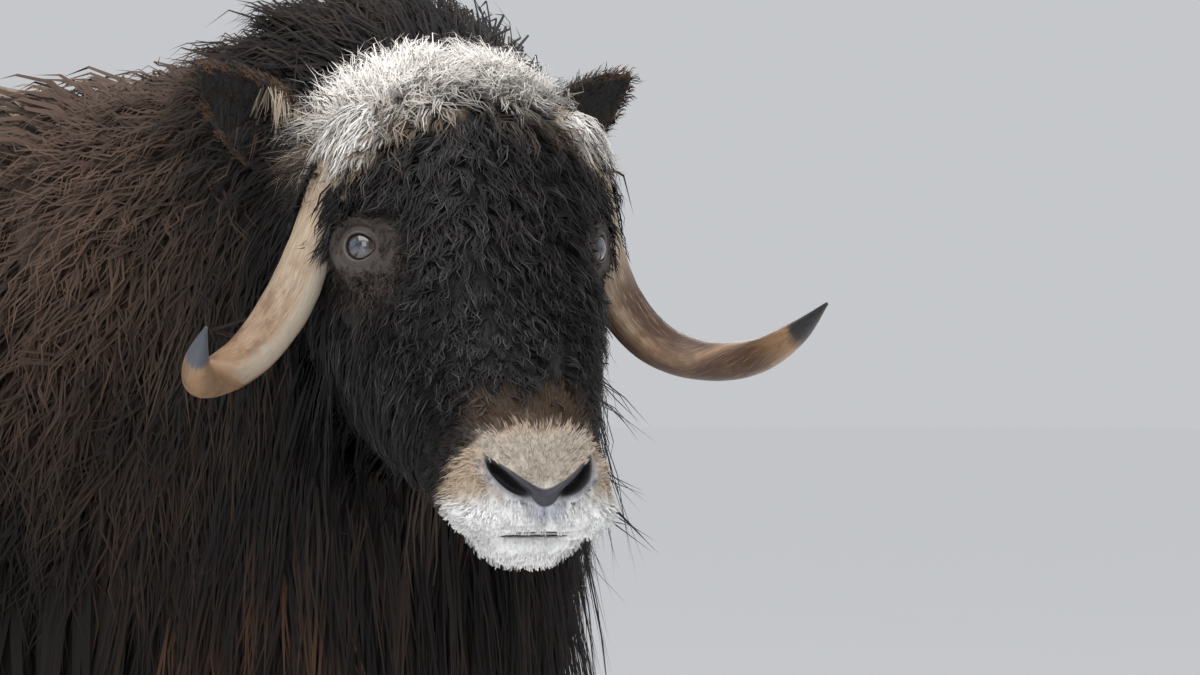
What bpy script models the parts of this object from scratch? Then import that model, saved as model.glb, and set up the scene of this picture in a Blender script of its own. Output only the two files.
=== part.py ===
"""Muskox that stands with its head turned to its right, at life size, in metres.

It faces -Y, its right side is -X and its eight soles lie at zero. Each sub-part is one object.
"""

import math
import random

import bmesh
import bpy
from mathutils import Matrix, Vector
from mathutils.bvhtree import BVHTree

# Clearance between touching sub-parts, half of it at a flat parting, and the seed of every draw
GAP = 0.0003
HALF_PARTING = 0.75 * GAP
GROWTH = 1.25 * GAP
SHARPEST_CORNER = 2.5
SEED = 48

# Head: middle of the eye line, and how far the head is turned to the right of the body
EYE_LINE = Vector((-0.090, -0.800, 0.985))
HEAD_TURN = math.radians(19)
EYE_SPACING = 0.238
EYEBALL = 0.020
LID_RING = 0.0165
LID_THICKNESS = 0.0058

# Trunk, out to the tips of the coat: (along, half width, back height, belly height)
TRUNK = (
    (-0.580, 0.240, 1.225, 0.580),
    (-0.450, 0.315, 1.255, 0.510),
    (-0.300, 0.350, 1.195, 0.480),
    (-0.100, 0.365, 1.155, 0.470),
    (0.120, 0.375, 1.105, 0.470),
    (0.400, 0.370, 1.090, 0.480),
    (0.640, 0.345, 1.060, 0.500),
    (0.800, 0.275, 0.990, 0.560),
    (0.900, 0.150, 0.900, 0.650),
)
NECK_PLANE = -0.500
TRUNK_ROUNDNESS = 2.4
BELLY_ROUNDNESS = 2.0

# Neck, out to the tips: (across, along, top, bottom, half width)
NECK = (
    (0.000, -0.470, 1.250, 0.540, 0.290),
    (-0.010, -0.560, 1.245, 0.530, 0.250),
    (-0.035, -0.650, 1.205, 0.640, 0.195),
    (-0.050, -0.700, 1.170, 0.700, 0.170),
)
# The plane that parts the head from the neck lies this far behind the eye line
POLL_PLANE = 0.150

# Head without its long hair: brow and throat points (forward, up) from the eye line, and half width
HEAD = (
    (-0.125, 0.125, -0.185, -0.010, 0.080),
    (-0.065, 0.158, -0.190, -0.060, 0.120),
    (0.005, 0.132, -0.165, -0.105, 0.132),
    (0.050, 0.065, -0.125, -0.145, 0.127),
    (0.076, 0.000, -0.080, -0.180, 0.115),
    (0.104, -0.075, -0.020, -0.215, 0.094),
    (0.134, -0.138, 0.034, -0.245, 0.078),
    (0.155, -0.180, 0.070, -0.268, 0.079),
    (0.163, -0.202, 0.092, -0.281, 0.076),
    (0.158, -0.226, 0.110, -0.277, 0.062),
    (0.146, -0.240, 0.124, -0.263, 0.034),
)

# Horn: centre line (out, forward, up) from the eye line, with its thickness
HORN = (
    (0.086, -0.016, 0.128, 0.060),
    (0.110, -0.022, 0.100, 0.060),
    (0.127, -0.034, 0.050, 0.057),
    (0.140, -0.048, 0.000, 0.054),
    (0.161, -0.055, -0.048, 0.050),
    (0.196, -0.050, -0.087, 0.043),
    (0.236, -0.030, -0.105, 0.037),
    (0.270, 0.010, -0.103, 0.031),
    (0.290, 0.058, -0.083, 0.022),
    (0.299, 0.106, -0.058, 0.003),
)

# Ear: root and tip (out, forward, up) from the eye line
EAR_ROOT = (0.118, -0.128, 0.076)
EAR_TIP = (0.216, -0.150, 0.165)
EAR_WIDTH = 0.066
EAR_THICKNESS = 0.030
EAR_WALL = 0.006

# Legs: (along, up, half width across, half depth along) down each limb
FORE_STANCE = (0.135, -0.420)
HIND_STANCE = (0.145, 0.620)
FORE_LEG = (
    (0.000, 0.640, 0.062, 0.090),
    (0.005, 0.500, 0.058, 0.076),
    (0.000, 0.360, 0.054, 0.060),
    (-0.004, 0.300, 0.052, 0.056),
    (0.000, 0.200, 0.040, 0.044),
    (-0.004, 0.125, 0.047, 0.052),
    (-0.020, 0.075, 0.050, 0.052),
    (-0.030, 0.045, 0.046, 0.046),
)
HIND_LEG = (
    (-0.040, 0.660, 0.095, 0.150),
    (0.000, 0.520, 0.080, 0.110),
    (0.060, 0.390, 0.052, 0.066),
    (0.072, 0.320, 0.042, 0.052),
    (0.056, 0.210, 0.037, 0.042),
    (0.036, 0.125, 0.043, 0.048),
    (0.014, 0.075, 0.046, 0.048),
    (0.004, 0.045, 0.042, 0.042),
)
FORE_TOE = (0.120, 0.056, 0.062)
HIND_TOE = (0.104, 0.049, 0.056)

# Coat that hangs below the flanks and round the rump: its core, inside the locks
SKIRT_TOP = 0.690
SKIRT_HEM = 0.500
SKIRT_THICKNESS = 0.050
SKIRT_FRONT = -0.600
SKIRT_BACK = 0.640

TAIL_ROOT = Vector((0.0, 0.885, 0.900))
TAIL_LENGTH = 0.120

# Coat: depth of the core inside the tips, and how a lock is set in it
COAT_CORE = 0.050
LOCK_ROOT = 0.022
LOCK_WIDTHS = (0.42, 1.0, 0.80, 0.08)
LOCK_HEIGHTS = (0.30, 0.65, 0.95)
LOCK_RIDGE = 0.18
LOCK_SWAY = 0.10
LOCK_SPREAD = (0.88, 1.12)
LOCK_KEEPS, LOCK_FOLLOWS, LOCK_SAG = 0.75, 0.20, Vector((0, 0, -0.22))
HANGS_FROM = 120
HANGING = Vector((0, 0, -1))

# Rows of locks down each side: (degrees from the back, count, length, width, rise, share backwards)
TRUNK_LOCKS = (
    (11, 7, 0.260, 0.155, 0.25, 0.75),
    (36, 7, 0.290, 0.165, 0.25, 0.50),
    (58, 7, 0.300, 0.165, 0.20, 0.32),
    (79, 7, 0.300, 0.165, 0.16, 0.18),
)
NECK_LOCKS = (
    (13, 2, 0.190, 0.110, 0.45, 0.80),
    (43, 2, 0.240, 0.110, 0.35, 0.50),
    (72, 2, 0.300, 0.110, 0.25, 0.25),
    (100, 2, 0.330, 0.105, 0.18, 0.12),
    (130, 2, 0.330, 0.100, 0.15, 0.05),
    (163, 2, 0.300, 0.095, 0.10, 0.00),
)
CHEEK_LOCKS = (
    (108, 3, 0.200, 0.070, 0.25, 0.30),
    (152, 3, 0.230, 0.060, 0.10, 0.00),
)
# Rows along each skirt: (root height, count on a flank, count round the rump, length, width)
SKIRT_LOCKS = (
    (0.640, 9, 3, 0.300, 0.130),
    (0.550, 9, 3, 0.290, 0.130),
)

# Woolly cap and curly brow: (share down the head, clumps from side to side, spread in degrees, radius)
CAP_CLUMPS = (
    (0.085, 5, 80, 0.042),
    (0.185, 6, 78, 0.040),
)
BROW_CLUMPS = (
    (0.285, 5, 56, 0.030),
    (0.365, 4, 46, 0.028),
    (0.440, 4, 40, 0.024),
    (0.510, 4, 36, 0.020),
)

# Names of sub-parts that others are cut clear of, and slightly larger copies of their pieces
EYES = ["eye_left", "eye_right"]
HORNS_AND_EARS = ["horn_left", "horn_right", "ear_left", "ear_right"]
LEGS = ["leg_fore_left", "leg_fore_right", "leg_hind_left", "leg_hind_right"]
SHELLS = {}

COLOURS = {
    "black": ((0.012, 0.010, 0.009), 0.8),
    "brown": ((0.060, 0.036, 0.022), 0.85),
    "dark_brown": ((0.030, 0.019, 0.013), 0.85),
    "saddle": ((0.420, 0.330, 0.220), 0.85),
    "stocking": ((0.500, 0.430, 0.330), 0.85),
    "horn": ((0.460, 0.310, 0.170), 0.45),
    "hoof": ((0.025, 0.021, 0.019), 0.5),
    "eye": ((0.015, 0.012, 0.012), 0.08),
}


def clear_scene():
    for thing in list(bpy.data.objects):
        bpy.data.objects.remove(thing, do_unlink=True)


def finish_of(name):
    """The Principled material of this colour, made once for each sub-part that asks for it."""
    colour, roughness = COLOURS[name]
    made = bpy.data.materials.new(name)
    made.use_nodes = True
    shader = made.node_tree.nodes["Principled BSDF"]
    shader.inputs["Base Color"].default_value = (*colour, 1)
    shader.inputs["Roughness"].default_value = roughness
    made.diffuse_color = (*colour, 1)
    return made


def spread(stations, count):
    """Catmull-Rom rows through the stations, evenly spaced in their numbering."""
    rows = []
    last = len(stations) - 1
    for i in range(count):
        place = i * last / (count - 1)
        k = min(int(place), last - 1)
        t = place - k
        a, b, c, d = (stations[min(max(k + j, 0), last)] for j in (-1, 0, 1, 2))
        rows.append([
            0.5 * (2 * q + (r - p) * t + (2 * p - 5 * q + 4 * r - s) * t**2 + (3 * q - p - 3 * r + s) * t**3)
            for p, q, r, s in zip(a, b, c, d)
        ])
    return rows


def rounded(value, power):
    return math.copysign(abs(value) ** (2 / power), value)


def ring(centre, across, up, sides, power=2.0, down=None, low_power=None):
    """Closed superellipse section; its first point lies at +across and it turns towards +up."""
    points = []
    for i in range(sides):
        angle = math.tau * i / sides
        low = math.sin(angle) < 0 and down is not None
        height, bend = (down, low_power) if low else (up, power)
        points.append(centre + across * rounded(math.cos(angle), bend) + height * rounded(math.sin(angle), bend))
    return points


def loft(rings):
    """Closed bmesh through the rings, with a fan at each end."""
    mesh = bmesh.new()
    rows = [[mesh.verts.new(point) for point in points] for points in rings]
    for near, far in zip(rows, rows[1:]):
        for i, vertex in enumerate(near):
            j = (i + 1) % len(near)
            mesh.faces.new((vertex, near[j], far[j], far[i]))
    for row in (rows[0], rows[-1]):
        if len(row) == 3:
            mesh.faces.new(row)
            continue
        middle = mesh.verts.new(sum((v.co for v in row), Vector()) / len(row))
        for i, vertex in enumerate(row):
            mesh.faces.new((vertex, row[(i + 1) % len(row)], middle))
    bmesh.ops.triangulate(mesh, faces=mesh.faces)
    bmesh.ops.recalc_face_normals(mesh, faces=mesh.faces)
    if mesh.calc_volume(signed=True) < 0:
        bmesh.ops.reverse_faces(mesh, faces=mesh.faces)
    return mesh


def place(mesh, name, finish="brown"):
    """Turns a bmesh into an object of the part's collection."""
    data = bpy.data.meshes.new(name)
    mesh.to_mesh(data)
    mesh.free()
    data.materials.append(finish_of(finish))
    made = bpy.data.objects.new(name, data)
    bpy.data.collections["muskox"].objects.link(made)
    return made


def sweep(line, widths, depths, facing, sides=8, power=2.0):
    """Rings along a bent line; facing is the direction of their depth."""
    rings = []
    for i, point in enumerate(line):
        along = (line[min(i + 1, len(line) - 1)] - line[max(i - 1, 0)]).normalized()
        across = along.cross(facing).normalized()
        depth = across.cross(along)
        rings.append(ring(point, across * widths[i], depth * depths[i], sides, power))
    return rings


def combine(target, others, operation):
    """Fuses the others to the target, or cuts them from it, all at once, and removes them."""
    group = bpy.data.collections.new("operands")
    bpy.context.scene.collection.children.link(group)
    for other in others:
        for holder in list(other.users_collection):
            holder.objects.unlink(other)
        group.objects.link(other)
    step = target.modifiers.new("combine", "BOOLEAN")
    step.operand_type = "COLLECTION"
    step.collection = group
    step.operation = operation
    step.solver = "MANIFOLD"
    graph = bpy.context.evaluated_depsgraph_get()
    joined = bpy.data.meshes.new_from_object(target.evaluated_get(graph))
    target.modifiers.remove(step)
    target.data = joined
    for other in others:
        bpy.data.objects.remove(other, do_unlink=True)
    bpy.data.collections.remove(group)
    keep_largest(target)


def keep_largest(target):
    """Leaves the largest closed surface of the object's mesh."""
    mesh = bmesh.new()
    mesh.from_mesh(target.data)
    bmesh.ops.triangulate(mesh, faces=mesh.faces)
    left, surfaces = set(mesh.faces), []
    while left:
        queue = [left.pop()]
        found = list(queue)
        while queue:
            for edge in queue.pop().edges:
                for face in edge.link_faces:
                    if face in left:
                        left.remove(face)
                        queue.append(face)
                        found.append(face)
        surfaces.append(found)

    def volume(faces):
        return abs(sum(a.co.dot(b.co.cross(c.co)) for a, b, c in (f.verts for f in faces)))

    surfaces.sort(key=volume, reverse=True)
    loose = [face for found in surfaces[1:] for face in found]
    bmesh.ops.delete(mesh, geom=loose, context="FACES")
    mesh.to_mesh(target.data)
    mesh.free()


def remember(name, pieces):
    """Keeps a slightly larger copy of each piece of a sub-part, to cut its neighbours clear of it."""
    for piece in pieces:
        mesh = bmesh.new()
        mesh.from_mesh(piece.data)
        mesh.normal_update()
        for vertex in mesh.verts:
            vertex.co += vertex.normal * GROWTH * min(vertex.calc_shell_factor(), SHARPEST_CORNER)
        shell = bpy.data.meshes.new(name)
        mesh.to_mesh(shell)
        mesh.free()
        SHELLS.setdefault(name, []).append(shell)


def clear_of(target, names):
    """Cuts the object clear of the named sub-parts."""
    cutters = [bpy.data.objects.new("cutter", shell) for name in names for shell in SHELLS[name]]
    combine(target, cutters, "DIFFERENCE")


def poll_block(shift, ahead):
    """A block on one side of the plane between head and neck, this far off the plane."""
    mesh = bmesh.new()
    bmesh.ops.create_cube(mesh, size=2)
    centre = head_point(0, -POLL_PLANE + shift + (1 if ahead else -1), 0)
    bmesh.ops.rotate(mesh, verts=mesh.verts, matrix=Matrix.Rotation(-HEAD_TURN, 3, "Z"))
    bmesh.ops.translate(mesh, verts=mesh.verts, vec=centre)
    return place(mesh, "cutter")


def tree_of(*lofts):
    """One search tree over the closed surfaces through these lists of rings."""
    points, faces = [], []
    for rings in lofts:
        mesh = loft(rings)
        mesh.verts.index_update()
        start = len(points)
        points += [vertex.co.copy() for vertex in mesh.verts]
        faces += [[start + vertex.index for vertex in face.verts] for face in mesh.faces]
        mesh.free()
    return BVHTree.FromPolygons(points, faces)


def on_rings(rings, share, angle):
    """The point of a loft at this share of its length and this angle from +across."""
    place_along = share * (len(rings) - 1)
    k = min(int(place_along), len(rings) - 2)
    turn = (angle / math.tau) % 1 * len(rings[0])
    i = int(turn)
    near, far = (
        points[i % len(points)].lerp(points[(i + 1) % len(points)], turn - i) for points in rings[k:k + 2]
    )
    return near.lerp(far, place_along - k)


def lock(tree, root, lie, length, width, rise, draw):
    """A flat tapered lock with a low ridge, rooted under the surface, that lies over it and then hangs."""
    normal = tree.find_nearest(root)[1]
    lie = (lie - normal * min(lie.dot(normal), 0)).normalized()
    swing = lie.cross(normal) * draw.uniform(-LOCK_SWAY, LOCK_SWAY)
    heading = (lie + swing + normal * rise).normalized()
    length *= draw.uniform(*LOCK_SPREAD)
    width *= draw.uniform(*LOCK_SPREAD)
    line, facings = [root - normal * LOCK_ROOT - lie * LOCK_ROOT * 0.5], [normal]
    point = root
    for share in LOCK_HEIGHTS:
        point = point + heading * length / len(LOCK_HEIGHTS)
        near, found, _, _ = tree.find_nearest(point)
        normal = (normal + found).normalized()
        height = (point - near).dot(normal)
        wanted = COAT_CORE * share
        if height < wanted or normal.z > 0:
            point = point + normal * (wanted - height)
        heading = (heading * LOCK_KEEPS + lie * LOCK_FOLLOWS + LOCK_SAG).normalized()
        line.append(point)
        facings.append(normal)
    rings = []
    for i, (centre, facing) in enumerate(zip(line, facings)):
        along = (line[min(i + 1, len(line) - 1)] - line[max(i - 1, 0)]).normalized()
        across = along.cross(facing).normalized()
        half = width / 2 * LOCK_WIDTHS[i]
        ridge = across.cross(along) * half * 2 * LOCK_RIDGE
        rings.append([centre + across * half, centre + ridge, centre - across * half])
    return place(loft(rings), "lock")


def comb(rings, tree, rows, draw, first=0.04, last=0.94):
    """Staggered rows of locks down both sides of a loft, laid back and down."""
    locks = []
    for number, (offset, count, length, width, rise, backwards) in enumerate(rows):
        for side in (1, -1):
            for i in range(count):
                stagger = 0.5 * (number % 2) + draw.uniform(-0.15, 0.15)
                share = first + (last - first) * min(max((i + stagger) / (count - 0.5), 0), 1)
                angle = math.radians(90 - side * (offset + draw.uniform(-3, 3)))
                root = on_rings(rings, share, angle)
                down = on_rings(rings, share, angle - side * 0.2) - root
                back = on_rings(rings, min(share + 0.05, 1), angle) - on_rings(rings, share - 0.04, angle)
                lie = down.normalized() * (1 - backwards) + back.normalized() * backwards
                if offset > HANGS_FROM:
                    lie = HANGING + back.normalized() * 0.15
                locks.append(lock(tree, root, lie, length, width, rise, draw))
    return locks


def clumps(rings, rows, draw):
    """Rounded clumps of wool set close together over the brow side of a loft."""
    made = []
    for number, (share, count, spread_angle, radius) in enumerate(rows):
        for i in range(count):
            across = (i + 0.5) / count * 2 - 1 + draw.uniform(-0.05, 0.05)
            angle = math.radians(90 - across * spread_angle)
            centre = on_rings(rings, share + draw.uniform(-0.012, 0.012), angle)
            size = radius * draw.uniform(0.9, 1.12)
            mesh = bmesh.new()
            bmesh.ops.create_uvsphere(mesh, u_segments=6, v_segments=4 if radius > 0.03 else 3, radius=size)
            bmesh.ops.triangulate(mesh, faces=mesh.faces)
            turn = Vector((draw.uniform(-1, 1), draw.uniform(-1, 1), 1)).to_track_quat("Z", "X").to_matrix()
            bmesh.ops.rotate(mesh, verts=mesh.verts, matrix=turn)
            bmesh.ops.translate(mesh, verts=mesh.verts, vec=centre)
            made.append(place(mesh, "clump"))
    return made


def head_point(out, forward, up):
    """From the eye line's own axes (to the head's left, forward, up) to the part's."""
    turn = HEAD_TURN
    left = Vector((math.cos(turn), -math.sin(turn), 0))
    ahead = Vector((-math.sin(turn), -math.cos(turn), 0))
    return EYE_LINE + left * out + ahead * forward + Vector((0, 0, up))


def head_direction(out, forward, up):
    return (head_point(out, forward, up) - EYE_LINE).normalized()


def trunk_rings(inset, front, back, count, sides):
    """Sections of the trunk, this far inside the tips of the coat."""
    rings = []
    for along, width, top, bottom in spread(TRUNK, count):
        if not front <= along <= back:
            continue
        middle = 0.5 * (top + bottom) - 0.02
        rings.append(ring(
            Vector((0, along, middle)),
            Vector((width - inset, 0, 0)),
            Vector((0, 0, top - inset - middle)),
            sides,
            TRUNK_ROUNDNESS,
            Vector((0, 0, middle - bottom)),
            BELLY_ROUNDNESS,
        ))
    return rings


def eye_centre(side):
    """Middle of an eyeball, whose outer surface stands at the eye line's end."""
    return head_point(side * (EYE_SPACING / 2 - EYEBALL * 0.72), -0.004, 0)


def make_eyes():
    for side, word in ((1, "left"), (-1, "right")):
        mesh = bmesh.new()
        bmesh.ops.create_uvsphere(mesh, u_segments=12, v_segments=7, radius=EYEBALL)
        bmesh.ops.translate(mesh, verts=mesh.verts, vec=eye_centre(side))
        remember(f"eye_{word}", [place(mesh, f"eye_{word}", "eye")])


def make_horns():
    for side, word in ((1, "left"), (-1, "right")):
        rows = spread(HORN, 16)
        line = [head_point(side * out, forward, up) for out, forward, up, _ in rows]
        widths = [thick * (0.62 if i < 4 else 0.52) for i, (*_, thick) in enumerate(rows)]
        depths = [thick * (0.40 if i < 4 else 0.48) for i, (*_, thick) in enumerate(rows)]
        facing = head_direction(side * 0.75, 0.5, 0.3)
        horn = place(loft(sweep(line, widths, depths, facing, 9)), f"horn_{word}", "horn")
        remember(horn.name, [horn])


def make_ears():
    for side, word in ((1, "left"), (-1, "right")):
        root, tip = (head_point(side * p[0], *p[1:]) for p in (EAR_ROOT, EAR_TIP))
        facing = head_direction(side * 0.35, 0.85, -0.35)
        shares = (0, 0.2, 0.42, 0.64, 0.84, 1)
        widths = (0.30, 0.44, 0.52, 0.46, 0.28, 0.06)
        line = [root.lerp(tip, share) - facing * 0.012 * math.sin(math.pi * share) for share in shares]
        depths = [EAR_THICKNESS * w * 1.1 for w in widths]
        shell = loft(sweep(line, [EAR_WIDTH * w for w in widths], depths, facing, 10))
        ear = place(shell, f"ear_{word}", "dark_brown")
        remember(f"ear_{word}", [ear])
        inner = [point + facing * EAR_THICKNESS * 0.42 for point in line[1:]]
        inner_widths = [max(EAR_WIDTH * w - EAR_WALL, 0.002) for w in widths[1:]]
        inner_depths = [max(d * 0.95, 0.002) for d in depths[1:]]
        hollow = place(loft(sweep(inner, inner_widths, inner_depths, facing, 8)), "cutter")
        combine(ear, [hollow], "DIFFERENCE")


def head_rings(count=15, sides=16, inset=0.0):
    rings = []
    for top_forward, top_up, low_forward, low_up, width in spread(HEAD, count):
        top = head_point(0, top_forward, top_up)
        low = head_point(0, low_forward, low_up)
        rings.append(ring(
            (top + low) / 2,
            head_direction(1, 0, 0) * (width - inset),
            (top - low) / 2 - (top - low).normalized() * inset,
            sides,
            2.3,
        ))
    return rings


def neck_rings(count, sides, inset=0.0):
    rings = []
    for i, (across, along, top, bottom, width) in enumerate(spread(NECK, count)):
        bend = HEAD_TURN * i / (count - 1)
        sideways = Vector((math.cos(bend), -math.sin(bend), 0))
        middle = (top + bottom) / 2
        rings.append(ring(
            Vector((across, along, middle)),
            sideways * (width - inset),
            Vector((0, 0, (top - bottom) / 2 - inset)),
            sides,
            2.3,
        ))
    return rings


def make_toes():
    """Two flat-soled hooves at the end of each leg."""
    for stance, leg, toe, word in (
        (FORE_STANCE, FORE_LEG, FORE_TOE, "fore"),
        (HIND_STANCE, HIND_LEG, HIND_TOE, "hind"),
    ):
        long, wide, high = toe
        for side, side_word in ((1, "left"), (-1, "right")):
            for half, half_word in ((-1, "inner"), (1, "outer")):
                x = side * (stance[0] + half * (wide / 2 + 0.0015))
                y = stance[1] + leg[-1][0] - long * 0.18
                rings = []
                for share, spread_out, lean in ((0, 1.0, 0.0), (0.45, 0.95, 0.04), (1, 0.66, 0.17)):
                    points = ring(
                        Vector((x, y + lean * long, high * share)),
                        Vector((wide / 2 * spread_out, 0, 0)),
                        Vector((0, long / 2 * spread_out, 0)),
                        10,
                        2.6,
                    )
                    rings.append(points)
                name = f"hoof_{word}_{side_word}_{half_word}"
                remember(name, [place(loft(rings), name, "hoof")])


def make_legs():
    for stance, leg, word in ((FORE_STANCE, FORE_LEG, "fore"), (HIND_STANCE, HIND_LEG, "hind")):
        for side, side_word in ((1, "left"), (-1, "right")):
            rings = []
            for along, up, width, depth in spread(leg, 9):
                centre = Vector((side * stance[0], stance[1] + along, up))
                rings.append(ring(centre, Vector((width, 0, 0)), Vector((0, depth, 0)), 10))
            made = place(loft(rings), f"leg_{word}_{side_word}", "stocking")
            remember(made.name, [made])
            clear_of(made, [f"hoof_{word}_{side_word}_{half}" for half in ("inner", "outer")])


def torus(centre, facing, radius, thickness):
    """A ring of round section that faces the given way."""
    spin = facing.to_track_quat("Z", "Y").to_matrix()
    rings = []
    for i in range(10):
        angle = math.tau * i / 10
        outward = spin @ Vector((math.cos(angle), math.sin(angle), 0))
        rings.append(ring(centre + outward * radius, outward * thickness, facing * thickness, 5))
    mesh = bmesh.new()
    rows = [[mesh.verts.new(point) for point in points] for points in rings]
    for near, far in zip(rows, rows[1:] + rows[:1]):
        for i, vertex in enumerate(near):
            j = (i + 1) % len(near)
            mesh.faces.new((vertex, near[j], far[j], far[i]))
    bmesh.ops.triangulate(mesh, faces=mesh.faces)
    bmesh.ops.recalc_face_normals(mesh, faces=mesh.faces)
    if mesh.calc_volume(signed=True) < 0:
        bmesh.ops.reverse_faces(mesh, faces=mesh.faces)
    return place(mesh, "lid")


def muzzle_line(tree, corner, front, half_width, lift, count=9):
    """A line round the muzzle on its surface, from one corner to the other, through the front."""
    line = []
    for i in range(count):
        angle = math.pi * (i / (count - 1) - 0.5)
        share = math.cos(angle)
        guess = head_point(
            math.sin(angle) * half_width,
            corner[0] + (front[0] - corner[0]) * share,
            corner[1] + (front[1] - corner[1]) * share,
        )
        near, normal, _, _ = tree.find_nearest(guess)
        line.append(near + normal * lift)
    return line


def make_head():
    draw = random.Random(SEED)
    rings = head_rings()
    head = place(loft(rings), "head", "black")
    tree = tree_of(rings)
    extras = comb(rings[::-1], tree, CHEEK_LOCKS, draw, 0.50, 0.84)
    extras += clumps(rings, CAP_CLUMPS + BROW_CLUMPS, draw)
    for side in (1, -1):
        facing = head_direction(side * 0.9, 0.35, 0.05)
        extras.append(torus(eye_centre(side) + facing * EYEBALL * 0.7, facing, LID_RING, LID_THICKNESS))
    thin = [0.002, 0.007, 0.009, 0.010, 0.010, 0.010, 0.009, 0.007, 0.002]
    for corner, front in (((0.050, -0.200), (0.150, -0.246)), ((0.045, -0.216), (0.138, -0.265))):
        line = muzzle_line(tree, corner, front, 0.088, -0.003)
        extras.append(place(loft(sweep(line, thin, thin, Vector((0, 0, 1)), 5)), "lip"))
    combine(head, [poll_block(HALF_PARTING, False)], "DIFFERENCE")
    remember("head", [head] + extras)
    combine(head, extras, "UNION")
    groove = muzzle_line(tree, (0.050, -0.207), (0.150, -0.256), 0.090, 0.003)
    cuts = [place(loft(sweep(groove, [0.006] * 9, [0.003] * 9, Vector((0, 0, 1)), 4)), "mouth")]
    for side in (1, -1):
        inner, outer = head_point(side * 0.016, 0.170, -0.218), head_point(side * 0.056, 0.150, -0.192)
        middle = inner.lerp(outer, 0.55) + Vector((0, 0, -0.004))
        line = [inner, inner.lerp(middle, 0.5), middle, middle.lerp(outer, 0.6), outer]
        cuts.append(place(loft(sweep(line, [0.003, 0.007, 0.010, 0.009, 0.004], [0.012] * 5,
                                     head_direction(0, 1, -0.2), 7)), "nostril"))
    combine(head, cuts, "DIFFERENCE")
    clear_of(head, EYES + HORNS_AND_EARS)


def slab(low, high, name="cutter"):
    """An upright block between two corners."""
    mesh = bmesh.new()
    bmesh.ops.create_cube(mesh, size=1)
    size = Vector(high) - Vector(low)
    bmesh.ops.scale(mesh, verts=mesh.verts, vec=size)
    bmesh.ops.translate(mesh, verts=mesh.verts, vec=(Vector(high) + Vector(low)) / 2)
    return place(mesh, name)


def flank_line(side):
    """Level route of a skirt along one flank, just inside the tips of the coat."""
    rows = [row for row in spread(TRUNK, 12) if SKIRT_FRONT <= row[0] <= SKIRT_BACK + 0.12]
    return [Vector((side * (row[1] - COAT_CORE - SKIRT_THICKNESS / 2), row[0], 0)) for row in rows]


def rear_line(side):
    """Level route of a skirt round one half of the rump, from the flank to behind the tail."""
    rows = [row for row in spread(TRUNK, 18) if row[0] > SKIRT_BACK - 0.05]
    inner = COAT_CORE + SKIRT_THICKNESS / 2
    line = [Vector((side * (row[1] - inner), row[0] - inner, 0)) for row in rows]
    return line + [Vector((-side * 0.04, line[-1].y + 0.01, 0))]


def curtain(line, top, bottom, sides=8):
    """Rings of an upright band that follows a level route."""
    rings = []
    for i, point in enumerate(line):
        along = (line[min(i + 1, len(line) - 1)] - line[max(i - 1, 0)]).normalized()
        outward = along.cross(Vector((0, 0, 1)))
        centre = Vector((point.x, point.y, (top + bottom) / 2))
        rings.append(ring(centre, outward * SKIRT_THICKNESS / 2, Vector((0, 0, (top - bottom) / 2)), sides, 2.6))
    return rings


def make_skirt(name, line, rear, blocks, neighbours):
    """A band of core with two tiers of hanging locks; blocks trim the band's ends."""
    draw = random.Random(f"{SEED} {name}")
    rings = curtain(line, SKIRT_TOP, SKIRT_HEM)
    skirt = place(loft(rings), name, "dark_brown")
    combine(skirt, blocks, "DIFFERENCE")
    tree = tree_of(rings)
    locks = []
    for number, (height, flank_count, rear_count, length, width) in enumerate(SKIRT_LOCKS):
        count = rear_count if rear else flank_count
        for i in range(count):
            share = (i + 0.25 + 0.5 * (number % 2)) / count
            k = min(int(share * (len(line) - 1)), len(line) - 2)
            along = (line[k + 1] - line[k]).normalized()
            outward = Vector((line[k].x, line[k].y - 0.1, 0))
            outward = (outward - along * outward.dot(along)).normalized()
            route = line[k].lerp(line[k + 1], share * (len(line) - 1) - k)
            root = Vector((route.x, route.y, height)) + outward * SKIRT_THICKNESS * 0.48
            lie = HANGING + Vector((0, 0.12, 0))
            locks.append(lock(tree, root, lie, length, width, 0.20, draw))
    remember(name, [skirt] + locks)
    combine(skirt, locks, "UNION")
    clear_of(skirt, neighbours)


def make_tail():
    shares = (0, 0.3, 0.6, 0.85, 1)
    line = [TAIL_ROOT + Vector((0, 0.045 * math.sin(share * 1.6), -TAIL_LENGTH * share)) for share in shares]
    widths = (0.030, 0.034, 0.032, 0.022, 0.006)
    return place(loft(sweep(line, widths, [w * 0.6 for w in widths], Vector((0, 1, 0.2)), 8)), "tail", "dark_brown")


def centre_on_floor():
    """Moves everything so that the whole stands centred on the origin."""
    bpy.context.view_layer.update()
    parts = bpy.data.collections["muskox"].objects
    corners = [v.co for part in parts for v in part.data.vertices]
    shift = Vector((
        -(min(c.x for c in corners) + max(c.x for c in corners)) / 2,
        -(min(c.y for c in corners) + max(c.y for c in corners)) / 2,
        0,
    ))
    for part in parts:
        for vertex in part.data.vertices:
            vertex.co += shift


clear_scene()
bpy.context.scene.collection.children.link(bpy.data.collections.new("muskox"))
make_eyes()
make_horns()
make_ears()
make_toes()
make_legs()
make_head()
draw = random.Random(SEED + 1)

trunk = trunk_rings(COAT_CORE, NECK_PLANE - 0.05, 1.0, 18, 16)
torso = place(loft(trunk), "torso", "brown")
combine(torso, [slab((-1, -1, 0), (1, NECK_PLANE + HALF_PARTING, 2))], "DIFFERENCE")
remember("torso", [torso])

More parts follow.
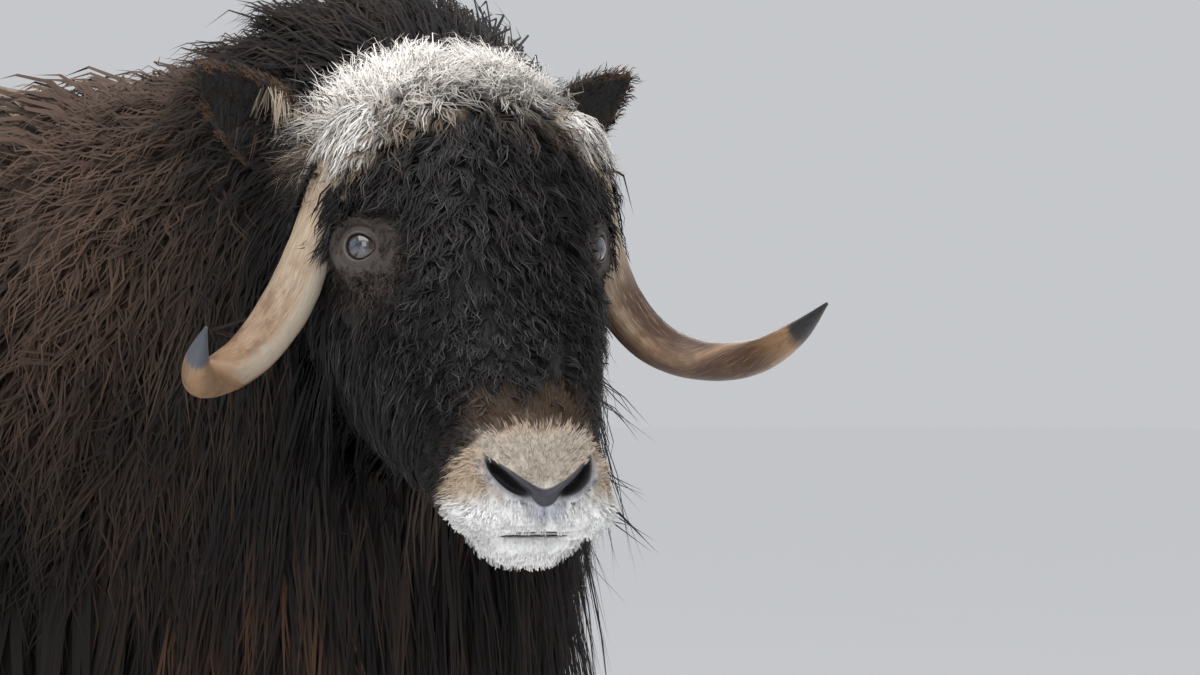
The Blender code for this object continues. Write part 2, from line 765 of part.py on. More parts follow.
throat = neck_rings(6, 16, COAT_CORE)
neck = place(loft(throat), "neck", "black")
combine(neck, [slab((-1, NECK_PLANE - HALF_PARTING, 0), (1, 0, 2))], "DIFFERENCE")
combine(neck, [poll_block(-HALF_PARTING, True)], "DIFFERENCE")
neck_locks = comb(throat[::-1], tree_of(throat, trunk, head_rings()), NECK_LOCKS, draw, 0.12, 0.86)
remember("neck", [neck] + neck_locks)
combine(neck, neck_locks, "UNION")
clear_of(neck, ["head", "torso"] + LEGS + HORNS_AND_EARS)

tail = make_tail()
remember("tail", [tail])
torso_locks = comb(trunk, tree_of(trunk), TRUNK_LOCKS, draw, 0.05, 0.90)
remember("torso", torso_locks)
for piece in torso_locks:
    clear_of(piece, ["neck"])
combine(torso, torso_locks, "UNION")
clear_of(torso, ["tail"] + LEGS)

behind = (-1, SKIRT_BACK - HALF_PARTING, 0), (1, 2, 2)
before = (-1, -1, 0), (1, SKIRT_BACK + HALF_PARTING, 2)
around = ["torso", "tail", "neck"] + LEGS
for side, word in ((-1, "right"), (1, "left")):
    across = sorted((HALF_PARTING * side, -side))
    beyond = (across[0], 0, 0), (across[1], 2, 2)
    flank, rear = f"skirt_{word}", f"skirt_rear_{word}"
    make_skirt(flank, flank_line(side), False, [slab(*behind)], around)
    make_skirt(rear, rear_line(side), True, [slab(*before), slab(*beyond)], around + [flank])
    around += [rear]
centre_on_floor()
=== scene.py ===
"""A life-size still model of a muskox, dressed over its fixed frame.

Lengths are metres. The animal faces -Y with its head turned to its own right, and its left side is +X.
"""

import math
from types import SimpleNamespace

import bmesh
import bpy
import numpy as np
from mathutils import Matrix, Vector
from mathutils.bvhtree import BVHTree


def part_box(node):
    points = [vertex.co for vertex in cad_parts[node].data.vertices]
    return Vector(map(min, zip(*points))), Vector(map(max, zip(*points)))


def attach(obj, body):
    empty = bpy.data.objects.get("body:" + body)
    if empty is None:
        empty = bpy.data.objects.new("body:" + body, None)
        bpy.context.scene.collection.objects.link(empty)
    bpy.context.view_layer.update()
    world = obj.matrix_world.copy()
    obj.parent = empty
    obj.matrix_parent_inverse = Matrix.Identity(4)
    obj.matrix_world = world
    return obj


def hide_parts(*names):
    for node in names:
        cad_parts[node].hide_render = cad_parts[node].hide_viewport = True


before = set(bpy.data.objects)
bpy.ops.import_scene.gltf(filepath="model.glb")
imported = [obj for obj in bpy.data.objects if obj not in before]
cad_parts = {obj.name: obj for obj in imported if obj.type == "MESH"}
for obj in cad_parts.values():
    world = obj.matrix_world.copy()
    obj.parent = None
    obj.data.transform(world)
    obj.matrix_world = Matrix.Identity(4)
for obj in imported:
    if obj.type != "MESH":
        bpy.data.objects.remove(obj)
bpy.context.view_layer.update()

# The hide: one skin from rump to lips, with no seam. It's a sleeve of oval sections that
# lies a little inside the tips of the coat, and everything that grows is rooted in it.
HEAD_TURN = math.radians(19)
head_left = np.array((math.cos(HEAD_TURN), -math.sin(HEAD_TURN), 0))
head_ahead = np.array((-math.sin(HEAD_TURN), -math.cos(HEAD_TURN), 0))
upwards = np.array((0, 0, 1.0))
SIDES = {1: "left", -1: "right"}
eyeballs = {side: np.array(sum(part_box(f"eye_{word}"), Vector()) / 2) for side, word in SIDES.items()}
between_eyes = (eyeballs[1] + eyeballs[-1]) / 2 + head_ahead * 0.004
body_home = between_eyes - np.array((-0.090, -0.800, 0.985))

# Trunk and neck: (across, along, back, belly, half width, degrees that the section is turned)
BODY_SECTIONS = (
    (0.000, 0.872, 0.835, 0.695, 0.045, 0),
    (0.000, 0.852, 0.868, 0.655, 0.110, 0),
    (0.000, 0.790, 0.950, 0.595, 0.215, 0),
    (0.000, 0.640, 1.012, 0.530, 0.292, 0),
    (0.000, 0.400, 1.040, 0.500, 0.318, 0),
    (0.000, 0.120, 1.055, 0.490, 0.322, 0),
    (0.000, -0.100, 1.115, 0.490, 0.314, 0),
    (0.000, -0.300, 1.130, 0.505, 0.298, 0),
    (0.000, -0.450, 1.168, 0.530, 0.255, 2),
    (-0.010, -0.560, 1.195, 0.585, 0.200, 8),
    (-0.035, -0.650, 1.162, 0.685, 0.150, 14),
)
# Head: brow and throat ends of each section (forward, up) from between the eyes, and half width
HEAD_SECTIONS = (
    (-0.108, 0.160, -0.150, -0.225, 0.134),
    (-0.060, 0.152, -0.146, -0.170, 0.127),
    (0.004, 0.127, -0.132, -0.145, 0.125),
    (0.046, 0.062, -0.105, -0.158, 0.120),
    (0.072, 0.000, -0.068, -0.184, 0.110),
    (0.100, -0.074, -0.014, -0.214, 0.089),
    (0.130, -0.136, 0.037, -0.241, 0.075),
    (0.150, -0.178, 0.071, -0.262, 0.076),
    (0.158, -0.201, 0.093, -0.277, 0.073),
    (0.159, -0.222, 0.112, -0.283, 0.067),
    (0.157, -0.238, 0.130, -0.279, 0.058),
    (0.152, -0.249, 0.141, -0.267, 0.048),
    (0.143, -0.2535, 0.139, -0.2575, 0.040),
    (0.128, -0.2545, 0.127, -0.2560, 0.034),
)
POLL = len(BODY_SECTIONS)
SLEEVE_SIDES = 160
SECTION_ROUNDNESS = 2.25


def at_head(out, forward, rise):
    """A point given to the head's left, forward and up from between the eyes."""
    return between_eyes + head_left * out + head_ahead * forward + upwards * rise


def in_head(points):
    """(to the left, forward, up) of points from between the eyes."""
    away = points - between_eyes
    return away @ head_left, away @ head_ahead, away[..., 2]


def unit(vectors):
    """Vectors brought to length one."""
    return vectors / np.maximum(np.linalg.norm(vectors, axis=-1, keepdims=True), 1e-9)


def eased(value, low, high):
    """0 below low, 1 above high, and smooth between."""
    share = np.clip((value - low) / (high - low), 0, 1)
    return share * share * (3 - 2 * share)


def between(value, start, full, fading, gone):
    """1 from full to fading, and 0 before start and after gone."""
    return eased(value, start, full) * (1 - eased(value, fading, gone))


def through(rows, stations):
    """Catmull-Rom values of the rows at these station numbers."""
    rows = np.asarray(rows, float)
    last = len(rows) - 1
    k = np.minimum(stations.astype(int), last - 1)
    t = (stations - k)[:, None]
    a, b, c, d = (rows[np.clip(k + j, 0, last)] for j in (-1, 0, 1, 2))
    return 0.5 * (2 * b + (c - a) * t + (2 * a - 5 * b + 4 * c - d) * t**2 + (3 * b - a - 3 * c + d) * t**3)


def ovals(tops, lows, halves, turns, sides, roundness):
    """Rings of points round each section, from its left over its top: (section, side, xyz)."""
    angle = np.arange(sides + 1) / sides * math.tau
    across, rise = (np.sign(w) * np.abs(w) ** (2 / roundness) for w in (np.cos(angle), np.sin(angle)))
    sideways = np.stack((np.cos(turns), -np.sin(turns), np.zeros(len(turns))), 1) * halves[:, None]
    middle, reach = (tops + lows) / 2, (tops - lows) / 2
    return middle[:, None] + sideways[:, None] * across[:, None] + reach[:, None] * rise[:, None]


def rolled(rings, name):
    """A grid rolled into a closed sleeve through rings of points."""
    mesh = bmesh.new()
    along, around = len(rings) - 1, rings.shape[1] - 1
    bmesh.ops.create_grid(mesh, x_segments=around, y_segments=along, size=1)
    for vertex in mesh.verts:
        i, j = round((vertex.co.y + 1) / 2 * along), round((vertex.co.x + 1) / 2 * around)
        vertex.co = rings[i, j % around]
    bmesh.ops.remove_doubles(mesh, verts=mesh.verts, dist=1e-7)
    open_ends = [edge for edge in mesh.edges if edge.is_boundary]
    ends = bmesh.ops.holes_fill(mesh, edges=open_ends, sides=0)["faces"]
    bmesh.ops.poke(mesh, faces=ends)
    bmesh.ops.recalc_face_normals(mesh, faces=mesh.faces)
    if mesh.calc_volume(signed=True) < 0:
        bmesh.ops.reverse_faces(mesh, faces=mesh.faces)
    return piece_of(mesh, name)


def piece_of(mesh, name):
    """Turns a bmesh into a smooth piece of the scene."""
    data = bpy.data.meshes.new(name)
    mesh.to_mesh(data)
    mesh.free()
    data.shade_smooth()
    made = bpy.data.objects.new(name, data)
    bpy.context.scene.collection.objects.link(made)
    return made


tops, lows, halves, turns = [], [], [], []
for across, along, back, belly, half, turn in BODY_SECTIONS:
    tops.append(body_home + (across, along, back))
    lows.append(body_home + (across, along, belly))
    halves.append(half)
    turns.append(math.radians(turn))
for top_forward, top_rise, low_forward, low_rise, half in HEAD_SECTIONS:
    tops.append(at_head(0, top_forward, top_rise))
    lows.append(at_head(0, low_forward, low_rise))
    halves.append(half)
    turns.append(HEAD_TURN)
section_rows = np.column_stack((tops, lows, halves, turns))
spacing = [0.016] * (POLL - 2) + [0.008] * 3 + [0.0034] * (len(HEAD_SECTIONS) - 2)
stations = []
for k, step in enumerate(spacing):
    length = np.linalg.norm(section_rows[k + 1, :3] - section_rows[k, :3])
    stations.append(np.arange(k, k + 1, 1 / max(2, math.ceil(length / step))))
stations = np.minimum(np.concatenate(stations + [[len(section_rows) - 1]]), len(section_rows) - 1.0)
sections = through(section_rows, stations)
sleeve = ovals(sections[:, :3], sections[:, 3:6], sections[:, 6], sections[:, 7], SLEEVE_SIDES, SECTION_ROUNDNESS)

# The features of the face are pressed into the sleeve: orbits with lids, nostrils and lips.
looks, lid_sides, lid_tops = {}, {}, {}
for side in SIDES:
    looks[side] = unit(head_left * side * 0.74 + head_ahead * 0.66 + upwards * 0.05)
    lid_sides[side] = unit(np.cross(upwards, looks[side]) * side)
    lid_tops[side] = np.cross(looks[side], lid_sides[side]) * side
LID_ROUND = (0.000, 0.0108, 0.0118, 0.0130, 0.0146, 0.0170, 0.0194, 0.0230, 0.0268, 0.0330, 0.0440)
LID_DEPTH = (0.008, 0.0100, 0.0160, 0.0177, 0.0180, 0.0172, 0.0154, 0.0172, 0.0162, 0.0125, 0.0070)
MOUTH_FRONT, MOUTH_RISE = -0.2545, 0.42
NOSTRIL_OUT, NOSTRIL_RISE = 0.0350, -0.2068
NOSTRIL_ACROSS, NOSTRIL_UP = 0.74, 0.67


def mouth_height(forward):
    """How high the mouth line is at this distance forward."""
    return (0.150 - forward) * MOUTH_RISE + MOUTH_FRONT


def nose_rim(out):
    """Height of the upper edge of the bare rim, a rounded V, and how deep the rim is there."""
    spread = (out * out + 0.0001) ** 0.5 - 0.010
    return spread * 0.72 - 0.2135, 0.0065 + 0.0095 / (1 + (out / 0.013) ** 4)


def from_nostril(out, rise):
    """Distance from the curved slot of a nostril: 1 at its edge."""
    off, up = out - NOSTRIL_OUT, rise - NOSTRIL_RISE
    along = off * NOSTRIL_ACROSS + up * NOSTRIL_UP
    beside = up * NOSTRIL_ACROSS - off * NOSTRIL_UP
    return ((along / 0.0215) ** 2 + ((beside - along * along * 9.0) / 0.0054) ** 2) ** 0.5


def pressed(points):
    """The points of the sleeve with the features of the face pressed into them."""
    moved = points.copy()
    for side, ball in eyeballs.items():
        away = points - ball
        depth = away @ looks[side]
        along, rise = away @ lid_sides[side], away @ lid_tops[side]
        corner = 1.10 + 0.25 * eased(-along, 0.004, 0.016)
        reach = np.hypot(along / corner, rise * (1 + 0.08 * (rise > 0)))
        wanted = np.interp(reach, LID_ROUND, LID_DEPTH)
        wanted += 0.0016 * eased(rise, 0.004, 0.014) * (reach > 0.0100) * (reach < 0.0300)
        wanted += 0.0016 * np.exp(-(((reach - 0.0196) / 0.0026) ** 2)) * eased(-rise - along * 0.5, -0.010, 0.006)
        share = eased(0.044 - reach, 0, 0.018) * (depth > -0.03)
        moved += looks[side] * ((wanted - depth) * share)[..., None]
    out, forward, rise = in_head(points)
    gap = rise - mouth_height(forward)
    on_muzzle = eased(forward, 0.030, 0.065)
    outward = unit(head_left * out[..., None] + head_ahead * (forward - 0.075)[..., None])
    lips = 0.0050 * np.exp(-(((gap - 0.0110) / 0.0090) ** 2)) * (0.6 + 0.4 * eased(np.abs(out), 0.004, 0.020))
    crease = 0.0050 * np.exp(-((gap / 0.0028) ** 2))
    jaw = 0.0110 * eased(-gap, 0.001, 0.008) * (1 + 0.9 * eased(np.abs(out), 0.025, 0.050))
    moved += outward * ((lips - crease - jaw) * on_muzzle)[..., None]
    front = eased(forward, 0.085, 0.118) * eased(rise, -0.252, -0.240) * (1 - eased(rise, -0.165, -0.150))
    for side in SIDES:
        slot = 1 - eased(from_nostril(side * out, rise), 0.35, 1.25)
        moved -= head_ahead * (0.0150 * slot * front)[..., None]
    edge, deep = nose_rim(np.abs(out))
    rim = np.exp(-(((rise - edge + deep * 0.4) / 0.0042) ** 2)) * (1 - eased(np.abs(out), 0.046, 0.056))
    below = np.exp(-(((rise - edge + deep + 0.0145) / 0.0060) ** 2)) * eased(np.abs(out), 0.012, 0.030)
    moved += head_ahead * ((0.0022 * rim + 0.0030 * below) * front)[..., None]
    groove = np.exp(-((out / 0.0016) ** 2)) * eased(rise, -0.254, -0.250) * (1 - eased(rise, -0.231, -0.226))
    moved -= head_ahead * (0.0024 * groove * on_muzzle)[..., None]
    return moved


hide = rolled(sleeve, "hide")
mesh = bmesh.new()
mesh.from_mesh(hide.data)
for centre, reach, cuts in (
    (eyeballs[1] + looks[1] * 0.012, 0.038, 3),
    (eyeballs[-1] + looks[-1] * 0.012, 0.038, 3),
    (at_head(0, 0.150, -0.222), 0.080, 1),
):
    centre = Vector(centre)
    edges = [edge for edge in mesh.edges if all((v.co - centre).length < reach for v in edge.verts)]
    bmesh.ops.subdivide_edges(mesh, edges=edges, cuts=cuts, use_grid_fill=True)
bmesh.ops.triangulate(mesh, faces=mesh.faces)
corners = np.array([vertex.co for vertex in mesh.verts])
for vertex, corner in zip(mesh.verts, pressed(corners)):
    vertex.co = corner
mesh.to_mesh(hide.data)
mesh.free()
rooted = pressed(sleeve)

# Legs: straight short limbs with broad pasterns, pale below the knee. They grow out of the
# trunk, so they're fused with the hide. (along, up, half width, half depth) from each stance.
LEGS = {
    "fore": ((0.135, -0.420), (
        (0.000, 0.640, 0.056, 0.084),
        (0.005, 0.500, 0.052, 0.070),
        (0.000, 0.360, 0.048, 0.054),
        (-0.004, 0.300, 0.046, 0.050),
        (0.000, 0.200, 0.035, 0.039),
        (-0.004, 0.125, 0.042, 0.047),
        (-0.020, 0.075, 0.045, 0.047),
        (-0.026, 0.048, 0.041, 0.041),
    )),
    "hind": ((0.145, 0.620), (
        (-0.040, 0.660, 0.089, 0.144),
        (0.000, 0.520, 0.074, 0.104),
        (0.060, 0.390, 0.046, 0.060),
        (0.072, 0.320, 0.037, 0.047),
        (0.056, 0.210, 0.032, 0.037),
        (0.036, 0.125, 0.038, 0.043),
        (0.014, 0.075, 0.041, 0.043),
        (0.006, 0.048, 0.038, 0.038),
    )),
}
LEG_SIDES = 48
limbs, limb_rings = [], []
for word, ((stand_out, stand_along), rows) in LEGS.items():
    rows = through(rows, np.linspace(0, len(rows) - 1, 76))
    for side in SIDES:
        centres = body_home * (1, 1, 0) + np.column_stack(
            (np.full(len(rows), side * stand_out), stand_along + rows[:, 0], rows[:, 1])
        )
        depth = rows[:, 3:4] * (0, 1, 0)
        rings = ovals(centres + depth, centres - depth, rows[:, 2], np.zeros(len(rows)), LEG_SIDES, 2.1)
        limb_rings.append(rings)
        limbs.append(rolled(rings, "limb"))

# Ears: pointed leaf-shaped cups of gristle under the edge of the wool, open to the front.
EAR_ROOT, EAR_TIP = (0.112, -0.122, 0.068), (0.214, -0.150, 0.163)
EAR_WIDTHS = ((0, 0.020), (0.15, 0.030), (0.35, 0.039), (0.55, 0.038), (0.75, 0.028), (0.9, 0.015), (1, 0.003))
EAR_WALL = 0.0045
ear_rings = {}
for side, word in SIDES.items():
    root, tip = (at_head(side * p[0], p[1], p[2]) for p in (EAR_ROOT, EAR_TIP))
    open_way = head_left * side * 0.30 + head_ahead * 0.88 - upwards * 0.30
    shaft = tip - root
    open_way = unit(open_way - shaft * (open_way @ shaft) / (shaft @ shaft))
    wide_way = unit(np.cross(shaft, open_way))
    share = np.linspace(0, 1, 40)
    widths = np.interp(share, *zip(*EAR_WIDTHS))
    spine = root + shaft * share[:, None] - open_way * (0.012 * np.sin(math.pi * share))[:, None]
    angle = np.linspace(0, math.pi, 21)
    outer = np.stack((np.cos(angle), -np.sin(angle)), 1)
    inner = outer[::-1]
    rings = []
    for centre, width in zip(spine, widths):
        depth = width * 0.62
        thin = min(EAR_WALL, width * 0.4)
        rounds = [centre + wide_way * width * c + open_way * depth * s for c, s in outer]
        rounds += [
            centre + wide_way * (width - thin) * c + open_way * (max(depth - thin, 0.0005) * s + 0.0012)
            for c, s in inner
        ]
        rings.append(rounds + rounds[:1])
    ear_rings[side] = np.array(rings)
    limbs.append(rolled(ear_rings[side], f"ear_{word}"))

group = bpy.data.collections.new("limbs")
bpy.context.scene.collection.children.link(group)
for limb in limbs:
    bpy.context.scene.collection.objects.unlink(limb)
    group.objects.link(limb)
fuse = hide.modifiers.new("fuse", "BOOLEAN")
fuse.operand_type, fuse.collection, fuse.operation, fuse.solver = "COLLECTION", group, "UNION", "MANIFOLD"
fused = bpy.data.meshes.new_from_object(hide.evaluated_get(bpy.context.evaluated_depsgraph_get()))
hide.modifiers.clear()
hide.data = fused
for limb in limbs:
    bpy.data.objects.remove(limb, do_unlink=True)
bpy.data.collections.remove(group)
hide.data.shade_smooth()
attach(hide, "root")
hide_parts("torso", "neck", "head", "tail", "ear_left", "ear_right")
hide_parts(*[f"leg_{word}_{side}" for word in LEGS for side in SIDES.values()])


class Value:
    """A shader socket that Python arithmetic can be written on."""

    def __init__(self, paint, socket):
        self.paint, self.socket = paint, socket

    def _math(self, operation, *values):
        return self.paint.node("ShaderNodeMath", {"operation": operation}, dict(enumerate(values)))["Value"]

    def __add__(self, other):
        return self._math("ADD", self, other)

    def __sub__(self, other):
        return self._math("SUBTRACT", self, other)

    def __rsub__(self, other):
        return self._math("SUBTRACT", other, self)

    def __mul__(self, other):
        return self._math("MULTIPLY", self, other)

    def __truediv__(self, other):
        return self._math("DIVIDE", self, other)

    def __rtruediv__(self, other):
        return self._math("DIVIDE", other, self)

    def __pow__(self, other):
        return self._math("POWER", self, other)

    def __neg__(self):
        return self._math("MULTIPLY", self, -1)

    __radd__, __rmul__ = __add__, __mul__

    def magnitude(self):
        return self._math("ABSOLUTE", self)

    def smallest(self, other):
        return self._math("MINIMUM", self, other)

    def largest(self, other):
        return self._math("MAXIMUM", self, other)

    def eased(self, low, high):
        """0 at low, 1 at high and smooth between; low may be the larger."""
        values = {"Value": self, "From Min": low, "From Max": high}
        return self.paint.node("ShaderNodeMapRange", {"interpolation_type": "SMOOTHSTEP"}, values)["Result"]


class Paint:
    """A Principled material whose nodes are written as Python expressions."""

    def __init__(self, name, **constants):
        self.material = bpy.data.materials.new(name)
        self.material.use_nodes = True
        self.graph = self.material.node_tree
        self.shader = self.graph.nodes["Principled BSDF"]
        for socket, value in constants.items():
            self.shader.inputs[socket.replace("_", " ")].default_value = value
        self.place = self.node("ShaderNodeTexCoord")["Object"]

    def node(self, kind, settings=None, values=None):
        """Adds a node with these settings and socket values or links, and returns its outputs by name."""
        made = self.graph.nodes.new(kind)
        for name, setting in (settings or {}).items():
            setattr(made, name, setting)
        for key, value in (values or {}).items():
            self.feed(made.inputs[key], value)
        return {out.name: Value(self, out) for out in made.outputs if out.enabled}

    def feed(self, socket, value):
        if isinstance(value, Value):
            self.graph.links.new(value.socket, socket)
        elif socket.type == "RGBA" and len(value) == 3:
            socket.default_value = (*value, 1)
        else:
            socket.default_value = value

    def wear(self, **values):
        """Links values to the shader's own sockets."""
        for name, value in values.items():
            self.feed(self.shader.inputs[name.replace("_", " ")], value)

    def noise(self, scale, detail=3, rough=0.55, where=None, warp=0.0):
        values = {"Vector": where or self.place, "Scale": scale, "Detail": detail}
        values.update({"Roughness": rough, "Distortion": warp})
        return self.node("ShaderNodeTexNoise", None, values)["Fac"]

    def blend(self, share, first, second):
        values = {0: share, 6: first, 7: second}
        return self.node("ShaderNodeMix", {"data_type": "RGBA", "clamp_factor": True}, values)["Result"]

    def vector(self, operation, *values):
        made = self.node("ShaderNodeVectorMath", {"operation": operation}, dict(enumerate(values)))
        return made["Value"] if operation in ("DOT_PRODUCT", "LENGTH", "DISTANCE") else made["Vector"]

    def bump(self, height, distance, strength=1.0):
        values = {"Height": height, "Distance": distance, "Strength": strength}
        self.wear(Normal=self.node("ShaderNodeBump", None, values)["Normal"])

    def attribute(self, name):
        """The three numbers of a vertex attribute, and the whole as a vector."""
        whole = self.node("ShaderNodeAttribute", {"attribute_name": name})["Vector"]
        return *self.parts(whole), whole

    def parts(self, vector):
        """X, Y and Z of a vector."""
        made = self.node("ShaderNodeSeparateXYZ", None, {"Vector": vector})
        return made["X"], made["Y"], made["Z"]

    def reaches(self, centre, *ways, where=None):
        """How far a place lies from a centre along each of these ways."""
        away = self.vector("SUBTRACT", where or self.place, tuple(centre))
        return [self.vector("DOT_PRODUCT", away, tuple(way)) for way in ways] + [away]

    def stretched(self, *shares):
        """The place with each axis scaled, for a pattern that is drawn out."""
        return self.vector("MULTIPLY", self.place, shares)


# Colours of hair and skin, with two greys of painted shade by the nose, from dark to pale
BLACK_HAIR, DARK_BROWN = (0.0060, 0.0050, 0.0054), (0.0072, 0.0050, 0.0047)
BROWN, RUST, OCHRE = (0.078, 0.048, 0.034), (0.120, 0.056, 0.027), (0.056, 0.034, 0.020)
BEARD, EYE_FUR, NOSTRIL_SHADE_GREY = (0.075, 0.052, 0.040), (0.052, 0.037, 0.029), (0.070, 0.068, 0.074)
SLATE, NOSE_SHADE_GREY, BUFF = (0.026, 0.026, 0.036), (0.420, 0.430, 0.490), (0.260, 0.185, 0.125)
SADDLE, TAN, BEIGE = (0.520, 0.410, 0.300), (0.430, 0.330, 0.240), (0.430, 0.370, 0.305)
CREAM, WHITE = (0.820, 0.780, 0.730), (0.800, 0.795, 0.785)


def markings(paint, where):
    """The animal's markings at a place, on skin and coat alike, with painted shade round the nose and mouth."""
    out, forward, rise, _ = paint.reaches(between_eyes, head_left, head_ahead, upwards, where=where)
    out = out.magnitude()
    _, along, height = paint.parts(paint.vector("SUBTRACT", where, tuple(body_home)))
    patch = paint.noise(9, 2, 0.5, where) - 0.5
    fleck = paint.noise(60, 2, 0.6, where) - 0.5
    colour = paint.blend((along + patch * 0.16).eased(-0.62, -0.44), BLACK_HAIR, DARK_BROWN)
    woolly = (along + patch * 0.2).eased(-0.60, -0.42) * (height + patch * 0.3).eased(0.82, 1.02)
    colour = paint.blend(woolly * (1 - (fleck + patch).eased(0.0, 0.3) * 0.5), colour, BROWN)
    beard = out.eased(0.080, 0.035) * rise.eased(-0.140, -0.170) * (forward + patch * 0.1).eased(-0.15, -0.08)
    colour = paint.blend(beard * (fleck + 0.5).eased(0.35, 0.6), colour, BEARD)
    rust = (height + patch * 0.4).eased(0.92, 0.70) * (along + patch * 0.2).eased(-0.72, -0.62)
    rust = rust * (along + patch * 0.2).eased(-0.40, -0.52) * (fleck + 0.5).eased(0.50, 0.66)
    colour = paint.blend(rust * 0.6, colour, RUST)
    saddle = (along + patch * 0.20).eased(-0.26, -0.02) * (along + patch * 0.20).eased(0.48, 0.22)
    saddle = saddle * (height + patch * 0.16).eased(0.84, 1.00)
    colour = paint.blend(saddle, colour, SADDLE)
    stocking = (height + patch * 0.06).eased(0.40, 0.30)
    colour = paint.blend(stocking, colour, SADDLE)
    eye = ((out - 0.112) ** 2 + (forward - 0.012) ** 2 + (rise + 0.012) ** 2) ** 0.5
    colour = paint.blend((eye + fleck * 0.012).eased(0.052, 0.026) * 0.8, colour, EYE_FUR)
    edge = rise - 0.138 + ((out / 0.17) ** 2 * 0.100).smallest(0.048) + patch * 0.024 + fleck * 0.014
    ahead = (forward + patch * 0.04).eased(-0.104, -0.080) * out.eased(0.150, 0.136)
    ahead = ahead * (1 - out.eased(0.013, 0.003) * rise.eased(0.162, 0.150) * 0.7)
    buff = edge.eased(-0.026, -0.008) * ahead * (fleck + patch + 0.5).eased(0.3, 0.7)
    colour = paint.blend(buff * 0.8, colour, BUFF)
    colour = paint.blend(edge.eased(-0.012, 0.008) * ahead, colour, CREAM)
    muzzle = ((out / 0.088) ** 2 + ((forward - 0.150) / 0.076) ** 2 + ((rise + 0.226) / 0.070) ** 2) ** 0.5
    muzzle = muzzle + patch * 0.08 + fleck * 0.10
    bridge = (rise + fleck * 0.014).eased(-0.120, -0.142) * (out + fleck * 0.012).eased(0.062, 0.040)
    colour = paint.blend(bridge * forward.eased(0.08, 0.11), colour, OCHRE)
    sides = muzzle.eased(1.06, 0.92) * (rise + fleck * 0.012 - out * 0.25).eased(-0.156, -0.170)
    colour = paint.blend(sides, colour, TAN)
    pad = (rise + fleck * 0.006).eased(-0.160, -0.172) * (out + fleck * 0.006).eased(0.056, 0.046)
    colour = paint.blend(pad * forward.eased(0.105, 0.120), colour, BEIGE)
    pale = (rise + fleck * 0.008 + out * 0.10).eased(-0.204, -0.226) * muzzle.eased(1.06, 0.94)
    colour = paint.blend(pale, colour, WHITE)
    rim_edge, rim_deep = nose_rim(out)
    slot = from_nostril(out, rise)
    # painted shade: pale grey under the nose rim and round the nostrils, and a darker grey halo close round each
    # nostril
    shade = slot.eased(3.0, 1.0).largest(out.eased(0.026, 0.008) * rise.eased(-0.246, -0.236))
    under_rim, at_front = (rim_edge - rise).eased(0.0, 0.004), forward.eased(0.105, 0.120)
    shade = shade * rise.eased(-0.180, -0.205) * under_rim * at_front
    colour = paint.blend(shade * 0.85, colour, NOSE_SHADE_GREY)
    nostril_halo_shade = slot.eased(2.3, 1.1) * rise.eased(-0.176, -0.196) * under_rim
    colour = paint.blend(nostril_halo_shade * forward.eased(0.100, 0.115) * 0.75, colour, NOSTRIL_SHADE_GREY)
    rim = (rise - rim_edge).eased(0.0012, -0.0012) * (rise - rim_edge + rim_deep).eased(-0.0014, 0.0014)
    rim = rim * at_front * out.eased(0.054, 0.047)
    # painted shade: near black deep in the nostril slots
    hollow = slot.eased(1.35, 0.9) * forward.eased(0.100, 0.115)
    # painted shade along the middle of the line where the lips meet
    mouth_shade = (rise - mouth_height(forward)).magnitude().eased(0.0040, 0.0016)
    mouth_shade = mouth_shade * out.eased(0.036, 0.018) * forward.eased(0.08, 0.11)
    return colour, rim, hollow, mouth_shade, eye


hide_paint = Paint("hide", Roughness=0.62)
coloured, nose_rim_here, nostril, mouth_shade, eye_reach = markings(hide_paint, hide_paint.place)
pores = hide_paint.noise(900, 3, 0.6)
wrinkles = hide_paint.noise(260, 4, 0.6)
bare = eye_reach.eased(0.036, 0.027)
coloured = hide_paint.blend(bare, coloured, (0.043, 0.032, 0.028))
for side, ball in eyeballs.items():
    along, above, away = hide_paint.reaches(ball, lid_sides[side], lid_tops[side])
    lid = ((along / 1.12) ** 2 + above**2) ** 0.5
    near = 1 - hide_paint.vector("LENGTH", away).eased(0.026, 0.036)
    # painted shade in the crease of the upper lid fold
    fold_crease_shade = lid.eased(0.0172, 0.0190) * lid.eased(0.0212, 0.0196) * (above - along * 0.4).eased(0.000, 0.010)
    coloured = hide_paint.blend(fold_crease_shade * near * 0.7, coloured, (0.010, 0.007, 0.007))
    margin = lid.eased(0.0142, 0.0130) * near
    coloured = hide_paint.blend(margin * 0.6, coloured, (0.130, 0.110, 0.105))
    coloured = hide_paint.blend(lid.eased(0.0126, 0.0116) * near, coloured, (0.012, 0.007, 0.007))
coloured = hide_paint.blend(nose_rim_here, coloured, SLATE)
# painted shade deep in the nostrils
coloured = hide_paint.blend(nostril, coloured, (0.006, 0.005, 0.006))
# painted shade in the mouth line
coloured = hide_paint.blend(mouth_shade, coloured, (0.030, 0.022, 0.022))
underfur = hide_paint.noise(30, 4, 0.65, hide_paint.stretched(6.0, 6.0, 1.0), 0.4)
furred = 1 - bare.largest(nose_rim_here).largest(nostril)
# painted shade: darker with the wrinkle pattern and among the underfur between the tufts
shaded = (wrinkles - 0.35) * 0.35 + underfur.eased(0.6, 0.4) * furred * 0.2
coloured = hide_paint.blend(shaded, coloured, (0.004, 0.003, 0.003))
hide_paint.wear(Base_Color=coloured, Roughness=0.68 - nose_rim_here * 0.26 + pores * 0.1)
hide_paint.bump(wrinkles * 0.3 + pores * 0.2 + underfur * furred * 2.0, 0.0030, 0.8)
hide.data.materials.clear()
hide.data.materials.append(hide_paint.material)
